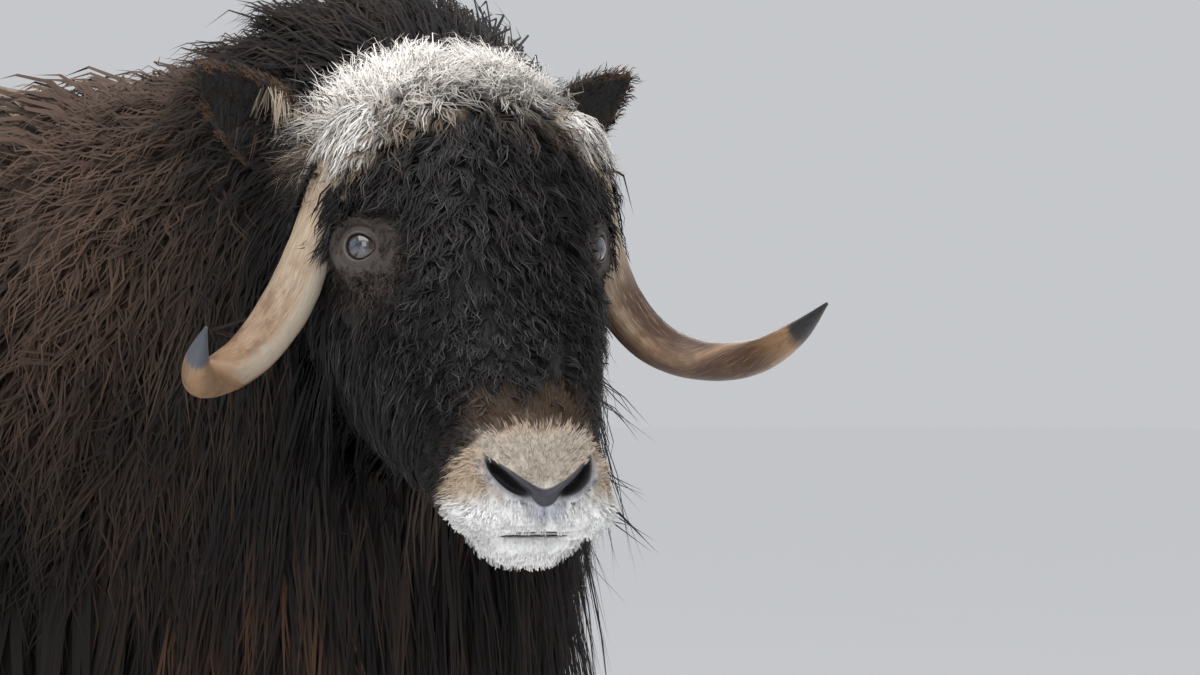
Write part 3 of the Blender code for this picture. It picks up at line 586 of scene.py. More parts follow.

# Eyes: wet dark globes held by the lids. A bluish grey painted reflection lies over the pupil,
# and the cornea's dome stands a little out of the globe.
EYE_RADIUS, CORNEA_RISE = 0.0198, 0.0012
for side, word in SIDES.items():
    mesh = bmesh.new()
    bmesh.ops.create_uvsphere(mesh, u_segments=64, v_segments=48, radius=EYE_RADIUS)
    look = Vector(looks[side])
    bmesh.ops.rotate(mesh, verts=mesh.verts, matrix=look.to_track_quat("Z", "Y").to_matrix())
    for vertex in mesh.verts:
        dome = max(vertex.co.normalized().dot(look) - 0.80, 0) / 0.20
        vertex.co += look * CORNEA_RISE * dome * (2 - dome)
    bmesh.ops.translate(mesh, verts=mesh.verts, vec=Vector(eyeballs[side]))
    globe = piece_of(mesh, f"globe_{word}")
    paint = Paint(f"eye_{word}", Roughness=0.06, Coat_Weight=1.0, Coat_Roughness=0.02, IOR=1.40)
    level, upright, away = paint.reaches(eyeballs[side], lid_sides[side], lid_tops[side])
    reach = (level**2 + upright**2) ** 0.5
    fibres = paint.noise(420, 3, 0.6, away, 1.5)
    reflection_noise = paint.noise(150, 3, 0.6, away)
    iris = paint.blend(fibres, (0.014, 0.010, 0.009), (0.040, 0.026, 0.019))
    pupil = ((level / 0.0068) ** 4 + (upright / 0.0052) ** 4) ** 0.25
    # painted reflection: a mottled bluish grey over the pupil
    painted_reflection = paint.blend(reflection_noise.eased(0.35, 0.7), (0.016, 0.018, 0.026), (0.120, 0.128, 0.158))
    colour = paint.blend(pupil.eased(1.9, 0.6) * 0.9, iris, painted_reflection)
    colour = paint.blend(reach.eased(0.0098, 0.0110), colour, (0.012, 0.008, 0.008))
    colour = paint.blend(reach.eased(0.0124, 0.0134), colour, (0.070, 0.040, 0.034))
    paint.wear(Base_Color=colour)
    globe.data.materials.append(paint.material)
    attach(globe, "root")
    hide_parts(f"eye_{word}")

# Horns: slim hooked keratin, tan with a darker band along the middle, striped by growth and
# worn pale and flaky on the lower edge. They come out from under the wool of the brow, and
# the right one hangs a little lower. (to the left, forward, up, width) from between the eyes
HORN_LINE = (
    (0.078, -0.024, 0.112, 0.044),
    (0.108, -0.024, 0.096, 0.042),
    (0.128, -0.034, 0.050, 0.041),
    (0.142, -0.048, 0.000, 0.042),
    (0.162, -0.055, -0.048, 0.046),
    (0.196, -0.050, -0.087, 0.043),
    (0.236, -0.030, -0.105, 0.038),
    (0.269, 0.010, -0.103, 0.031),
    (0.288, 0.058, -0.083, 0.022),
    (0.297, 0.106, -0.056, 0.003),
)
HORN_HANG = {1: 0.006, -1: -0.016}
HORN_SIDES, HORN_RINGS = 40, 150
horn_rings = {}
for side, word in SIDES.items():
    rows = through(HORN_LINE, np.linspace(0, len(HORN_LINE) - 1, HORN_RINGS))
    line = at_head(side * rows[:, :1], rows[:, 1:2], rows[:, 2:3])
    line += upwards * HORN_HANG[side] * eased(np.linspace(0, 1, HORN_RINGS), 0.35, 0.95)[:, None]
    heading = unit(np.gradient(line, axis=0))
    facing = head_left * side * 0.75 + head_ahead * 0.5 + upwards * 0.3
    wide = unit(np.cross(heading, facing))
    deep = np.cross(wide, heading)
    base = 1 - eased(np.arange(HORN_RINGS) / HORN_RINGS, 0.15, 0.40)
    angle = np.arange(HORN_SIDES + 1) / HORN_SIDES * math.tau
    half_wide, half_deep = rows[:, 3] * (0.52 + 0.10 * base), rows[:, 3] * (0.48 - 0.08 * base)
    share = np.linspace(0, 1, HORN_RINGS)
    growth = 1 + 0.012 * np.sin(share * 95 + 2 * np.sin(share * 17)) * (1 - share)
    rings = (
        line[:, None]
        + wide[:, None] * (np.cos(angle) * (half_wide * growth)[:, None])[..., None]
        + deep[:, None] * (np.sin(angle) * (half_deep * growth)[:, None])[..., None]
    )
    horn = rolled(rings, f"horn_keratin_{word}")
    corners = np.array([vertex.co for vertex in horn.data.vertices])
    tree = [(np.linalg.norm(line - corner, axis=1)).argmin() for corner in corners]
    spoke = corners - line[tree]
    turn = np.arctan2((spoke * deep[tree]).sum(1), (spoke * wide[tree]).sum(1))
    grain = horn.data.attributes.new("grain", "FLOAT_VECTOR", "POINT")
    grain.data.foreach_set("vector", np.column_stack((np.cos(turn), np.sin(turn), share[tree])).ravel())
    paint = Paint(f"horn_{word}", Roughness=0.42)
    edge, face, length, whole = paint.attribute("grain")
    stretched = paint.vector("MULTIPLY", whole, (1, 1, 1.6))
    streaks = paint.noise(14, 5, 0.65, stretched, 0.3)
    hairlines = paint.noise(46, 3, 0.7, stretched)
    mottle = paint.noise(42, 4, 0.6)
    flakes = paint.noise(220, 4, 0.7)
    warm = (length + (mottle - 0.5) * 0.4).eased(0.36, 0.62)
    colour = paint.blend(warm, (0.440, 0.345, 0.245), (0.300, 0.180, 0.095))
    colour = paint.blend(streaks.eased(0.35, 0.72) * 0.55, colour, (0.150, 0.078, 0.038))
    if side < 0:
        band = face.magnitude().eased(0.2, 0.9) * 0.3
    else:
        band = (face.magnitude() + streaks * 0.5).eased(0.10, 0.85)
    band = band * length.eased(0.28, 0.46) * length.eased(0.90, 0.78)
    colour = paint.blend(band * streaks.eased(0.22, 0.50), colour, (0.055, 0.024, 0.012))
    colour = paint.blend(mottle.eased(0.50, 0.64) * warm * 0.65, colour, (0.105, 0.055, 0.028))
    worn = (-edge + (mottle - 0.5) * 0.5).eased(0.78, 1.0) * length.eased(0.80, 0.55)
    colour = paint.blend(worn * 0.75, colour, (0.420, 0.370, 0.300))
    tip = (length + (streaks - 0.5) * 0.06).eased(0.880, 0.905)
    colour = paint.blend(tip, colour, (0.066, 0.074, 0.090) if side < 0 else (0.018, 0.017, 0.018))
    paint.wear(Base_Color=colour, Roughness=0.40 + worn * 0.3 + (hairlines - 0.5) * 0.2)
    paint.bump(streaks * 0.6 + hairlines * 0.5 + flakes * (worn * 0.9 + 0.1), 0.0012, 0.9)
    horn.data.materials.append(paint.material)
    horn_rings[side] = rings
    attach(horn, "root")
    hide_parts(f"horn_{word}")

# Hooves: a pair of broad dark claws on each foot, domed in front, with growth rings and a
# worn grey rim where they meet the ground.
hoof_paint = Paint("hoof", Roughness=0.5)
_, _, height = hoof_paint.parts(hoof_paint.place)
rings_of_growth = hoof_paint.noise(120, 3, 0.6, hoof_paint.stretched(0.25, 0.25, 3.0))
chips = hoof_paint.noise(90, 4, 0.65)
colour = hoof_paint.blend(rings_of_growth.eased(0.35, 0.65), (0.014, 0.012, 0.011), (0.052, 0.044, 0.038))
colour = hoof_paint.blend(height.eased(0.018, 0.002) * chips.eased(0.35, 0.6), colour, (0.150, 0.130, 0.110))
hoof_paint.wear(Base_Color=colour, Roughness=0.45 + chips * 0.25)
hoof_paint.bump(rings_of_growth * 0.6 + chips * 0.5, 0.0015, 0.8)
# (up, size, back) of each ring of a claw, as shares of its box
HOOF_PROFILE = (
    (0.00, 0.970, 0.000),
    (0.03, 1.000, 0.000),
    (0.20, 0.985, 0.012),
    (0.45, 0.945, 0.036),
    (0.70, 0.850, 0.085),
    (0.90, 0.730, 0.135),
    (1.00, 0.600, 0.160),
)
for name in [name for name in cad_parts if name.startswith("hoof")]:
    low, high = (np.array(corner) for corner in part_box(name))
    rows = through(HOOF_PROFILE, np.linspace(0, len(HOOF_PROFILE) - 1, 26))
    wide, long, tall = high - low
    toe = low[1] + long * 0.5
    centres = np.column_stack((
        np.full(len(rows), (low[0] + high[0]) / 2),
        toe + rows[:, 2] * long,
        low[2] + rows[:, 0] * tall,
    ))
    depth = rows[:, 1:2] * long / 2 * (0, 1, 0)
    rings = ovals(centres + depth, centres - depth, rows[:, 1] * wide / 2, np.zeros(len(rows)), 48, 2.5)
    claw = rolled(rings, name.replace("hoof", "claw"))
    claw.data.materials.append(hoof_paint.material)
    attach(claw, "root")
    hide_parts(name)

# The coat: thin tapered tufts of hair in locks. A lock follows a guide that lies over the hide,
# rises to its height and sags; its tufts start round the guide and draw together at the tip.
draw = np.random.default_rng(7)
hide_tree = BVHTree.FromPolygons(
    [vertex.co for vertex in hide.data.vertices], [face.vertices for face in hide.data.polygons]
)


def tree_with_horns():
    """The hide together with the horns, for hair that lies over both."""
    places, faces = [], []
    for piece in (hide, bpy.data.objects["horn_keratin_left"], bpy.data.objects["horn_keratin_right"]):
        faces += [[len(places) + corner for corner in face.vertices] for face in piece.data.polygons]
        places += [vertex.co for vertex in piece.data.vertices]
    return BVHTree.FromPolygons(places, faces)


horned_tree = tree_with_horns()
TUFT_PATCH = 0.003
MOST_TRIANGLES = 190_000
# Spacing and length of the fine hairs painted on a tuft, and how far its shading follows the hide
HAIR_ACROSS, HAIR_ALONG = 0.0012, 0.030
SOFTNESS = 0.85


def cells_of(rings):
    """Centre, normal and area of each cell of a sleeve."""
    a, b = rings[:-1, :-1], rings[:-1, 1:]
    c, d = rings[1:, 1:], rings[1:, :-1]
    normal = np.cross(c - a, d - b)
    area = np.linalg.norm(normal, axis=-1)
    normal = unit(normal)
    centres = (a + b + c + d) / 4
    spokes = centres - centres.mean(1, keepdims=True)
    return centres, normal if (spokes * normal).sum() > 0 else -normal, area / 2


def scattered(rings, thickness, count, chart):
    """Roots drawn over a sleeve where the coat grows: places, normals, places on the chart, cells."""
    _, normals, areas = cells_of(rings)
    weight = areas * thickness
    picked = draw.choice(weight.size, count, p=(weight / weight.sum()).ravel())
    i, j = np.unravel_index(picked, weight.shape)
    s, t = draw.random((2, count, 1))
    places = (rings[i, j] * (1 - s) + rings[i, j + 1] * s) * (1 - t)
    places += (rings[i + 1, j] * (1 - s) + rings[i + 1, j + 1] * s) * t
    spot = np.column_stack(((j + s[:, 0]) / weight.shape[1], (i + t[:, 0]) / weight.shape[0]))
    low, high = np.array(chart[:2]), np.array(chart[2:])
    return places, normals[i, j], low + spot * (high - low), (i, j)


def guided(places, normals, lie, length, height, sag, cling, steps, tree=hide_tree):
    """Guides of locks: each starts at its place and follows its lie over the hide."""
    guides = np.empty((len(places), steps + 1, 3))
    facings = np.empty_like(guides)
    for n, (place, normal) in enumerate(zip(places, normals)):
        point, up_way = Vector(place), Vector(normal)
        way = Vector(lie[n])
        heading = (way - up_way * min(way.dot(up_way), 0)).normalized()
        guides[n, 0] = point - up_way * 0.003
        facings[n, 0] = up_way
        for k in range(1, steps + 1):
            point = point + heading * (length[n] / steps)
            near, found, _, _ = tree.find_nearest(point)
            level = (point - near).dot(found)
            wanted = height[n] * math.sin(min(k / steps * 1.5, 1) * math.pi / 2)
            if cling or level < wanted or found.z > 0.35:
                point = point + found * (wanted - level)
                up_way = found
            else:
                up_way = (up_way + found).normalized()
            heading = heading * 0.6 + way * 0.4 - Vector((0, 0, sag))
            heading = (heading - up_way * min(heading.dot(up_way), 0)).normalized()
            guides[n, k] = point
            facings[n, k] = up_way
    return guides, facings


def turned(line, face):
    """Unit ways along, beside and out of lines of points that lie on these facings."""
    along = unit(np.gradient(line, axis=1))
    beside = unit(np.cross(along, face))
    return along, beside, np.cross(beside, along)


def tufted(guides, facings, each, spread, width, flat, gather, curl, ends):
    """Centre lines of the tufts of each lock, with their half widths and ways across."""
    locks, knots = guides.shape[:2]
    count = locks * each
    lock = np.repeat(np.arange(locks), each)
    share = np.linspace(0, 1, knots)
    line, face = guides[lock], facings[lock]
    along, beside, out_way = turned(line, face)
    reach = spread * np.sqrt(draw.random(count))
    turn = draw.random(count) * math.tau
    size = draw.uniform(*ends, count)
    line = line[:, :1] + (line - line[:, :1]) * size[:, None, None]
    line = line + beside * ((reach * np.cos(turn))[:, None] * (1 - gather * share**1.4))[..., None]
    line = line + along[:, :1] * (reach * np.sin(turn))[:, None, None]
    lift = draw.uniform(-0.5, 0.35, count) * reach
    line = line + out_way * (lift[:, None] * share)[..., None]
    phase = draw.random(count)[:, None] * math.tau
    phase = phase + share * draw.uniform(0.7, 1.3, count)[:, None] * curl[1] * math.tau
    bow = share**0.7 * curl[0]
    line = line + beside * (np.cos(phase) * bow)[..., None] + out_way * (np.sin(phase) * bow * 0.6)[..., None]
    _, beside, out_way = turned(line, face)
    soft = unit(out_way * (1 - SOFTNESS) + face * SOFTNESS)
    taper = np.interp(share, (0, 0.25, 0.6, 1), (0.75, 1, 0.75, 0.0))
    half = (width * draw.uniform(0.7, 1.3, count))[:, None] * taper / 2
    return lock, share, line, half, beside, out_way * flat, soft


def coat(name, guides, facings, spots, roots, material, each, spread, width, flat, gather, curl, ends):
    """Pieces of coat: tufts round each guide, as closed three-sided tapers, no piece too large."""
    rows = guides.shape[1] - 1
    triangles = 6 * (rows - 1) + 4
    most = int(MOST_TRIANGLES / triangles / each)
    parts = math.ceil(len(guides) / most)
    order = np.argsort(roots[:, 1], kind="stable")
    made = []
    for number, chosen in enumerate(np.array_split(order, parts)):
        lock, share, line, half, beside, outward, soft = tufted(
            guides[chosen], facings[chosen], each, spread, width, flat, gather, curl, ends
        )
        count, tip = len(line), rows * 3
        corners = np.empty((count, tip + 1, 3))
        shine = np.empty_like(corners)
        for k in range(3):
            angle = math.tau * (k / 3 + 0.25)
            spoke = beside * math.cos(angle) + outward * math.sin(angle)
            corners[:, k:tip:3] = (line + spoke * half[..., None])[:, :-1]
            shine[:, k:tip:3] = unit(soft * SOFTNESS + beside * (math.cos(angle) * (1 - SOFTNESS)))[:, :-1]
        corners[:, -1], shine[:, -1] = line[:, -1], soft[:, -1]
        faces = [(0, 1, 2)]
        for r in range(0, tip - 3, 3):
            for k in range(3):
                a, b = r + k, r + (k + 1) % 3
                faces += [(a, b + 3, b), (a, a + 3, b + 3)]
        faces += [(tip - 3 + (k + 1) % 3, tip - 3 + k, tip) for k in range(3)]
        every = (np.array(faces)[None] + (np.arange(count) * (tip + 1))[:, None, None]).reshape(-1, 3)
        data = bpy.data.meshes.new(name)
        data.vertices.add(count * (tip + 1))
        data.vertices.foreach_set("co", corners.ravel())
        data.loops.add(every.size)
        data.loops.foreach_set("vertex_index", every.ravel().astype(np.int32))
        data.polygons.add(len(every))
        data.polygons.foreach_set("loop_start", np.arange(0, every.size, 3, dtype=np.int32))
        data.update(calc_edges=True)
        data.shade_smooth()
        data.normals_split_custom_set_from_vertices(shine.reshape(-1, 3))
        step = np.append(np.repeat(share[:-1], 3), 1.0)
        across = np.append(np.tile((0.5, 0.0, 1.0), rows), 0.5)
        random = draw.random(count)
        reach = np.linalg.norm(np.diff(line, axis=1), axis=2).sum(1)
        strand = np.column_stack((
            np.tile(step, count),
            np.repeat(random, tip + 1),
            np.repeat(draw.random(len(chosen))[lock], tip + 1),
        ))
        fibre = np.column_stack((
            (across[None] * half.max(1)[:, None] * 2 / HAIR_ACROSS).ravel(),
            (step[None] * reach[:, None] / HAIR_ALONG).ravel(),
            np.repeat(random * 90, tip + 1),
        ))
        root = np.repeat(roots[chosen][lock], tip + 1, axis=0)
        for word, values in (("root", root), ("strand", strand), ("fibre", fibre)):
            store = data.attributes.new(word, "FLOAT_VECTOR", "POINT")
            store.data.foreach_set("vector", values.astype(np.float32).ravel())
        patch = np.column_stack((across - 0.5, step - 0.5)) * TUFT_PATCH
        flat_map = (spots[chosen][lock][:, None] + patch[None]).reshape(-1, 2)[every.ravel()]
        data.uv_layers.new(name="OFBake").data.foreach_set("uv", flat_map.astype(np.float32).ravel())
        data.materials.append(material)
        piece = bpy.data.objects.new(f"{name}_{number + 1}", data)
        bpy.context.scene.collection.objects.link(piece)
        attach(piece, "root")
        made.append(piece)
    return made


def hair(name, rough, glint=0.0, bleach=0.0, shadow=0.45, depth=0.7, own=None):
    """Hair coloured by the markings at its root, with painted shade towards the root and between the fine hairs
    along each tuft, and painted glints where asked.
    """
    paint = Paint(name, Roughness=rough, Specular_IOR_Level=0.16, Sheen_Weight=0.03, Sheen_Roughness=0.5)
    step, shade, tone, _ = paint.attribute("strand")
    _, _, high, root = paint.attribute("root")
    _, _, _, fibre = paint.attribute("fibre")
    hairs = paint.noise(1.0, 3, 0.7, fibre)
    clumps = paint.noise(34, 3, 0.6, root)
    colour = own or markings(paint, root)[0]
    if glint:
        # painted highlights: pale grey glints on some strands towards their tips
        shown = step.eased(0.10, 0.7) * (shade * 0.45 + hairs * 0.6 + clumps * 0.5).eased(0.78, 1.05) * glint
        colour = paint.blend(shown, colour, (0.150, 0.140, 0.138))
    if bleach:
        shown = step.eased(0.2, 1.0) * (tone * 0.3 + hairs * 0.7 + clumps * 0.4).eased(0.55, 1.0) * bleach
        shown = shown * (high.eased(0.72, 1.08) * 0.85 + 0.15)
        colour = paint.blend(shown, colour, (0.165, 0.105, 0.066))
    # painted shade in the gaps between the fine hairs, with random darker clumps and tufts, then painted shade
    # towards the root
    painted_shade_and_tone = hairs.eased(0.60, 0.30) * 0.45 + clumps.eased(0.60, 0.35) * 0.30 + (shade - 0.5) * 0.30
    painted_shade_and_tone = painted_shade_and_tone * depth + (1 - step).eased(0.40, 1.0) * shadow
    colour = paint.blend(painted_shade_and_tone, colour, (0.003, 0.0025, 0.002))
    paint.wear(Base_Color=colour)
    paint.bump(hairs, 0.0006, 0.5)
    return paint.material


centres, _, _ = cells_of(rooted)
station = ((stations[:-1] + stations[1:]) / 2)[:, None] + np.zeros(SLEEVE_SIDES)
degrees = (np.arange(SLEEVE_SIDES) + 0.5) / SLEEVE_SIDES * 360
top_side = np.abs((degrees - 90 + 180) % 360 - 180)[None] + np.zeros_like(station)
out_cell, forward_cell, rise_cell = in_head(centres)
out_cell = np.abs(out_cell)


def from_eye(points):
    """How far points are from the nearer eye's lids."""
    return np.minimum(*(np.linalg.norm(points - eyeballs[s] - looks[s] * 0.015, axis=-1) for s in SIDES))


eye_cell = from_eye(centres)
not_eye = eased(eye_cell, 0.020, 0.028)
rim_cell, rim_deep_cell = nose_rim(out_cell)
on_rim = (rise_cell < rim_cell + 0.0010) & (rise_cell > rim_cell - rim_deep_cell + 0.001) & (out_cell < 0.052)
on_nose = (on_rim | (from_nostril(out_cell, rise_cell) < 1.30)) & (forward_cell > 0.100)
not_mouth = eased(np.abs(rise_cell - mouth_height(forward_cell)), 0.001, 0.004)
not_mouth = np.maximum(not_mouth, eased(out_cell, 0.020, 0.034))
BODY_CHART = (0.02, 0.02, 0.98, 0.80)


def grow(name, slot, thickness, locks, each, lie_of, length_of, height_of, material,
         sag=0.0, cling=False, rows=3, spread=0.010, width=0.004, flat=0.35, gather=0.6,
         curl=(0.0, 1.0), ends=(0.7, 1.15), wild=0.10, tree=hide_tree):
    """Grows a stretch of coat on the sleeve where its thickness says: locks, with each so many tufts."""
    places, normals, spots, (i, j) = scattered(rooted, thickness, locks, BODY_CHART)
    out, forward, rise = in_head(places)
    facts = SimpleNamespace(
        station=station[i, j], top=top_side[i, j], side=np.sign(out)[:, None], out=np.abs(out),
        forward=forward, rise=rise, body=places - body_home, normal=normals, eye=from_eye(places), place=places,
    )
    lie = unit(unit(lie_of(facts)) + draw.normal(0, wild, (locks, 3)))
    length = length_of(facts) * draw.uniform(0.8, 1.2, locks)
    height = height_of(facts) * draw.uniform(0.6, 1.1, locks)
    guides, facings = guided(places, normals, lie, length, height, sag, cling, rows, tree)
    return coat(name, guides, facings, spots, places, material, each, spread, width, flat, gather, curl, ends)


def body_lie(facts):
    """Back along the spine, and more and more downwards towards the belly and round the rump."""
    lower = np.maximum(eased(facts.top, 10, 80), eased(facts.body[:, 1], 0.62, 0.82))[:, None]
    return (0, 1.0, 0) * (1 - 0.85 * lower) + (0, 0, -1.0) * (0.12 + 0.95 * lower)


def level(height):
    """The same height for every lock."""
    return lambda facts: np.full(len(facts.top), height)


body_hair = hair("body_hair", 0.75, 0.0, 0.34, 0.36, 0.50)
# face hair carries painted highlights as pale glints
face_hair = hair("face_hair", 0.55, 0.42, 0.05, 0.45, 1.0)
cap_hair = hair("cap_hair", 0.80, 0.0, 0.0, 0.14, 0.40)
pale_hair = hair("muzzle_hair", 0.75, 0.0, 0.0, 0.20, 0.55)

# Trunk: woolly coat over hump and back, longer and straighter down the flanks, with the skirt
# of guard hair below it. It's dark brown, with a pale saddle behind the shoulders.
front = eased(station, POLL - 4.6, POLL - 3.6)
trunk_share = 1 - eased(station, POLL - 1.8, POLL - 0.8)
upper = 1 - eased(top_side, 70, 95)
rear_locks = dict(sag=0.05, spread=0.020, width=0.0105, curl=(0.006, 1.0), flat=0.30)
grow("coat_back", "body_coat", trunk_share * (1 - front) * upper, 1050, 5, body_lie,
     lambda f: 0.115 - 0.02 * eased(f.top, 0, 60), level(0.040), body_hair, **rear_locks)
grow("coat_flank", "body_coat", trunk_share * (1 - front) * between(top_side, 50, 75, 112, 130), 1050, 5, body_lie,
     lambda f: 0.18 + 0.02 * eased(f.top, 60, 110), level(0.042), body_hair, **rear_locks)
grow("coat_shoulder", "body_coat", trunk_share * front * (1 - eased(top_side, 105, 125)), 1950, 6, body_lie,
     lambda f: 0.060 + 0.07 * eased(f.top, 50, 105), lambda f: 0.024 + 0.016 * eased(f.top, 50, 100), body_hair,
     sag=0.06, spread=0.015, width=0.0036, curl=(0.010, 1.6), gather=0.10, wild=0.36)
skirt_share = (1 - eased(station, POLL - 2.4, POLL - 1.6)) * between(top_side, 90, 100, 130, 142)
skirt = grow("coat_skirt", "skirt", skirt_share, 700, 6, lambda f: f.normal * (0.10, 0.10, 0) + (0, 0.08, -1.0),
             lambda f: 0.35 - 0.10 * eased(f.top, 95, 130), level(0.036), body_hair,
             sag=0.5, spread=0.020, width=0.0090, gather=0.75, curl=(0.007, 1.1))

# Mane: long guard hair of the neck and throat, black near the face and rusty lower down. It
# stands up on the nape behind the ears, and hangs from the throat as a beard.
mane_end = POLL - 0.1 + 0.9 * eased(top_side, 70, 85)
mane_share = eased(station, POLL - 2.6, POLL - 1.2) * (1 - eased(station - mane_end, -0.3, 0.1))


def mane_lie(facts):
    """As on the body, but standing up on the nape."""
    nape = (1 - eased(facts.top, 40, 75)) * eased(facts.station, POLL - 1.4, POLL - 0.4)
    return body_lie(facts) + facts.normal * (0.7 * nape)[:, None]


grow("coat_mane", "mane", mane_share * (1 - eased(top_side, 125, 150)), 1650, 6, mane_lie,
     lambda f: 0.070 + 0.135 * eased(f.top, 40, 95),
     lambda f: 0.040 - 0.014 * eased(f.top, 30, 60) + 0.014 * eased(f.top, 60, 100), body_hair,
     sag=0.14, spread=0.013, width=0.0036, gather=0.4, curl=(0.008, 1.4), wild=0.13)
throat_share = between(station, POLL - 3.0, POLL - 2.0, POLL + 2.8, POLL + 3.6)
grow("coat_throat", "mane", throat_share * eased(top_side, 105, 128), 800, 6,
     lambda f: f.normal * (0.20, 0.20, 0) + (0, 0.05, -1.0),
     lambda f: 0.25 - 0.13 * eased(f.station, POLL + 1.0, POLL + 4.0), level(0.026), body_hair,
     sag=0.35, spread=0.014, width=0.0038, gather=0.6, curl=(0.006, 1.1))


# Face: short black hair that sweeps back over the cheeks and curls on the forehead. It parts
# round the eyes, and gets shorter towards the lids.
def round_eye(facts, lie):
    """Turns the lie away from the eye beside it."""
    nearest = np.where(facts.side > 0, eyeballs[1] + looks[1] * 0.015, eyeballs[-1] + looks[-1] * 0.015)
    away = unit(facts.place - nearest)
    return unit(lie) + away * (1.6 * (1 - eased(facts.eye, 0.030, 0.060)))[:, None]


def short_by_eye(facts, length, least=0.007):
    return least + (length - least) * eased(facts.eye, 0.026, 0.080)


cheek_share = between(station, POLL - 0.2, POLL + 0.6, POLL + 4.9, POLL + 5.7)
cheek_share = cheek_share * (1 - eased(rise_cell, 0.055, 0.080))
grow("coat_cheek", "head_coat", cheek_share * between(top_side, 55, 75, 145, 165) * not_eye,
     1500, 6, lambda f: round_eye(f, -head_ahead * 0.50 + (0, 0, -0.85) + head_left * f.side * 0.05),
     lambda f: short_by_eye(f, 0.034 + 0.045 * eased(f.top, 70, 120) + 0.045 * eased(f.forward, 0.02, -0.08)),
     lambda f: short_by_eye(f, 0.008 + 0.014 * eased(f.forward, 0.0, -0.09), 0.002), face_hair,
     sag=0.08, cling=True, spread=0.007, width=0.0023, gather=0.5, curl=(0.0020, 1.0), wild=0.14)
brow_share = between(station, POLL + 0.9, POLL + 1.6, POLL + 5.3, POLL + 6.1)
grow("coat_brow", "head_coat", brow_share * (1 - eased(top_side, 60, 82)) * not_eye, 1200, 9,
     lambda f: round_eye(f, (0, 0, -1.0) + head_left * f.side * (f.out * 4)[:, None]),
     lambda f: short_by_eye(f, 0.038 - 0.020 * eased(f.station, POLL + 2.6, POLL + 5.6)),
     lambda f: short_by_eye(f, 0.015 - 0.009 * eased(f.station, POLL + 2.6, POLL + 5.6), 0.002), face_hair,
     cling=True, spread=0.0075, width=0.0020, gather=0.75, curl=(0.0034, 1.2), wild=0.36, tree=horned_tree)
grow("coat_lids", "head_coat", between(eye_cell, 0.0170, 0.0205, 0.045, 0.060), 800, 3,
     lambda f: round_eye(f, (0, 0, -0.6) - head_ahead * 0.4),
     lambda f: 0.004 + 0.011 * eased(f.eye, 0.020, 0.045), level(0.0016), face_hair,
     cling=True, rows=2, spread=0.0025, width=0.0013, gather=0.2, wild=0.12)

# Horn roots: fur that grows over the upper horn from both sides, hides its end, and lower
# down leaves a strip of the horn bare.
FURRED_HORN = 0.36
for side, word in SIDES.items():
    rings = horn_rings[side][: int(HORN_RINGS * FURRED_HORN)]
    share = np.linspace(0, 1, len(rings) - 1)[:, None]
    turn = (np.arange(HORN_SIDES) + 0.5) / HORN_SIDES * 360
    off_strip = np.abs((turn - 80 + 180) % 360 - 180)[None]
    covered = eased(off_strip, 12 + 60 * share**2, 26 + 80 * share**2) * (1 - eased(share, 0.75, 1.0))
    covered = np.maximum(covered, 1.3 * (1 - eased(share, 0.26, 0.40)))
    column = 0.02 + (side > 0) * 0.49
    places, normals, spots, _ = scattered(rings, covered, 330, (column, 0.985, column + 0.47, 0.998))
    lie = -upwards - head_ahead * 0.25 + head_left * side * 0.45
    lie = unit(lie + draw.normal(0, 0.18, normals.shape))
    size = 0.030 + 0.012 * draw.random(len(places))
    heights = np.full(len(places), 0.006)
    guides, facings = guided(places, normals, lie, size, heights, 0.0, True, 3, horned_tree)
    coat(f"coat_horn_root_{word}", guides, facings, spots, places, face_hair, 6,
         0.006, 0.0022, 0.35, 0.4, (0.003, 1.1), (0.7, 1.1))

# Woolly cap: two soft frizzy lobes of cream wool over the brow and the roots of the horns,
# parted in the middle.
cap_share = between(station, POLL, POLL + 0.4, POLL + 1.4, POLL + 2.0) * (1 - eased(top_side, 55, 72))
cap_share = cap_share * (1 - 0.8 * np.exp(-((out_cell / 0.010) ** 2)))


def cap_lie(facts):
    """Outwards from the middle of the lobe of each side."""
    lobes = at_head(0, -0.040, 0.100) + head_left * facts.side * 0.075
    return unit(facts.place - lobes) + facts.normal * 0.5 - (0, 0, 0.6) * eased(facts.out, 0.09, 0.13)[:, None]


grow("coat_cap", "head_coat", cap_share, 1180, 10, cap_lie,
     lambda f: (0.040 + 0.010 * eased(f.top, 30, 60)) * (1 - 0.5 * np.exp(-((f.out / 0.020) ** 2))),
     lambda f: (0.026 - 0.004 * eased(f.top, 40, 66)) * (1 - 0.85 * np.exp(-((f.out / 0.018) ** 2))), cap_hair,
     sag=0.14, spread=0.014, width=0.0016, gather=0.05, curl=(0.0060, 1.7), wild=0.50)


# Muzzle: short pale plush that parts above the nose, lies back over the sides and falls over
# the lips. The rim of the nose and the nostrils stay bare.
def muzzle_lie(facts):
    """Fans up from the tip of the nose, back over the sides and down over lips and chin."""
    fan = unit(facts.place - at_head(0, 0.150, -0.2150))
    down = eased(-facts.rise, 0.207, 0.222)[:, None]
    side = eased(facts.out, 0.046, 0.070)[:, None]
    fan = fan * (1 - down) + (upwards * -1.0 + head_left * facts.side * 0.18) * down
    return fan * (1 - side) + (upwards * -0.45 - head_ahead * 0.85 + head_left * facts.side * 0.25) * side


muzzle_share = between(station, POLL + 4.9, POLL + 5.7, POLL + 10.8, POLL + 11.2) * ~on_nose * not_mouth
grow("coat_muzzle", "head_coat", muzzle_share * (1 + eased(station, POLL + 5.6, POLL + 6.4)), 3600, 4, muzzle_lie,
     lambda f: 0.0075 + 0.007 * eased(f.out, 0.05, 0.08) + 0.008 * eased(-f.rise, 0.262, 0.278)
     + 0.006 * eased(f.rise, -0.170, -0.155), level(0.0030), pale_hair,
     cling=True, rows=2, spread=0.0030, width=0.0014, gather=0.2, wild=0.12)

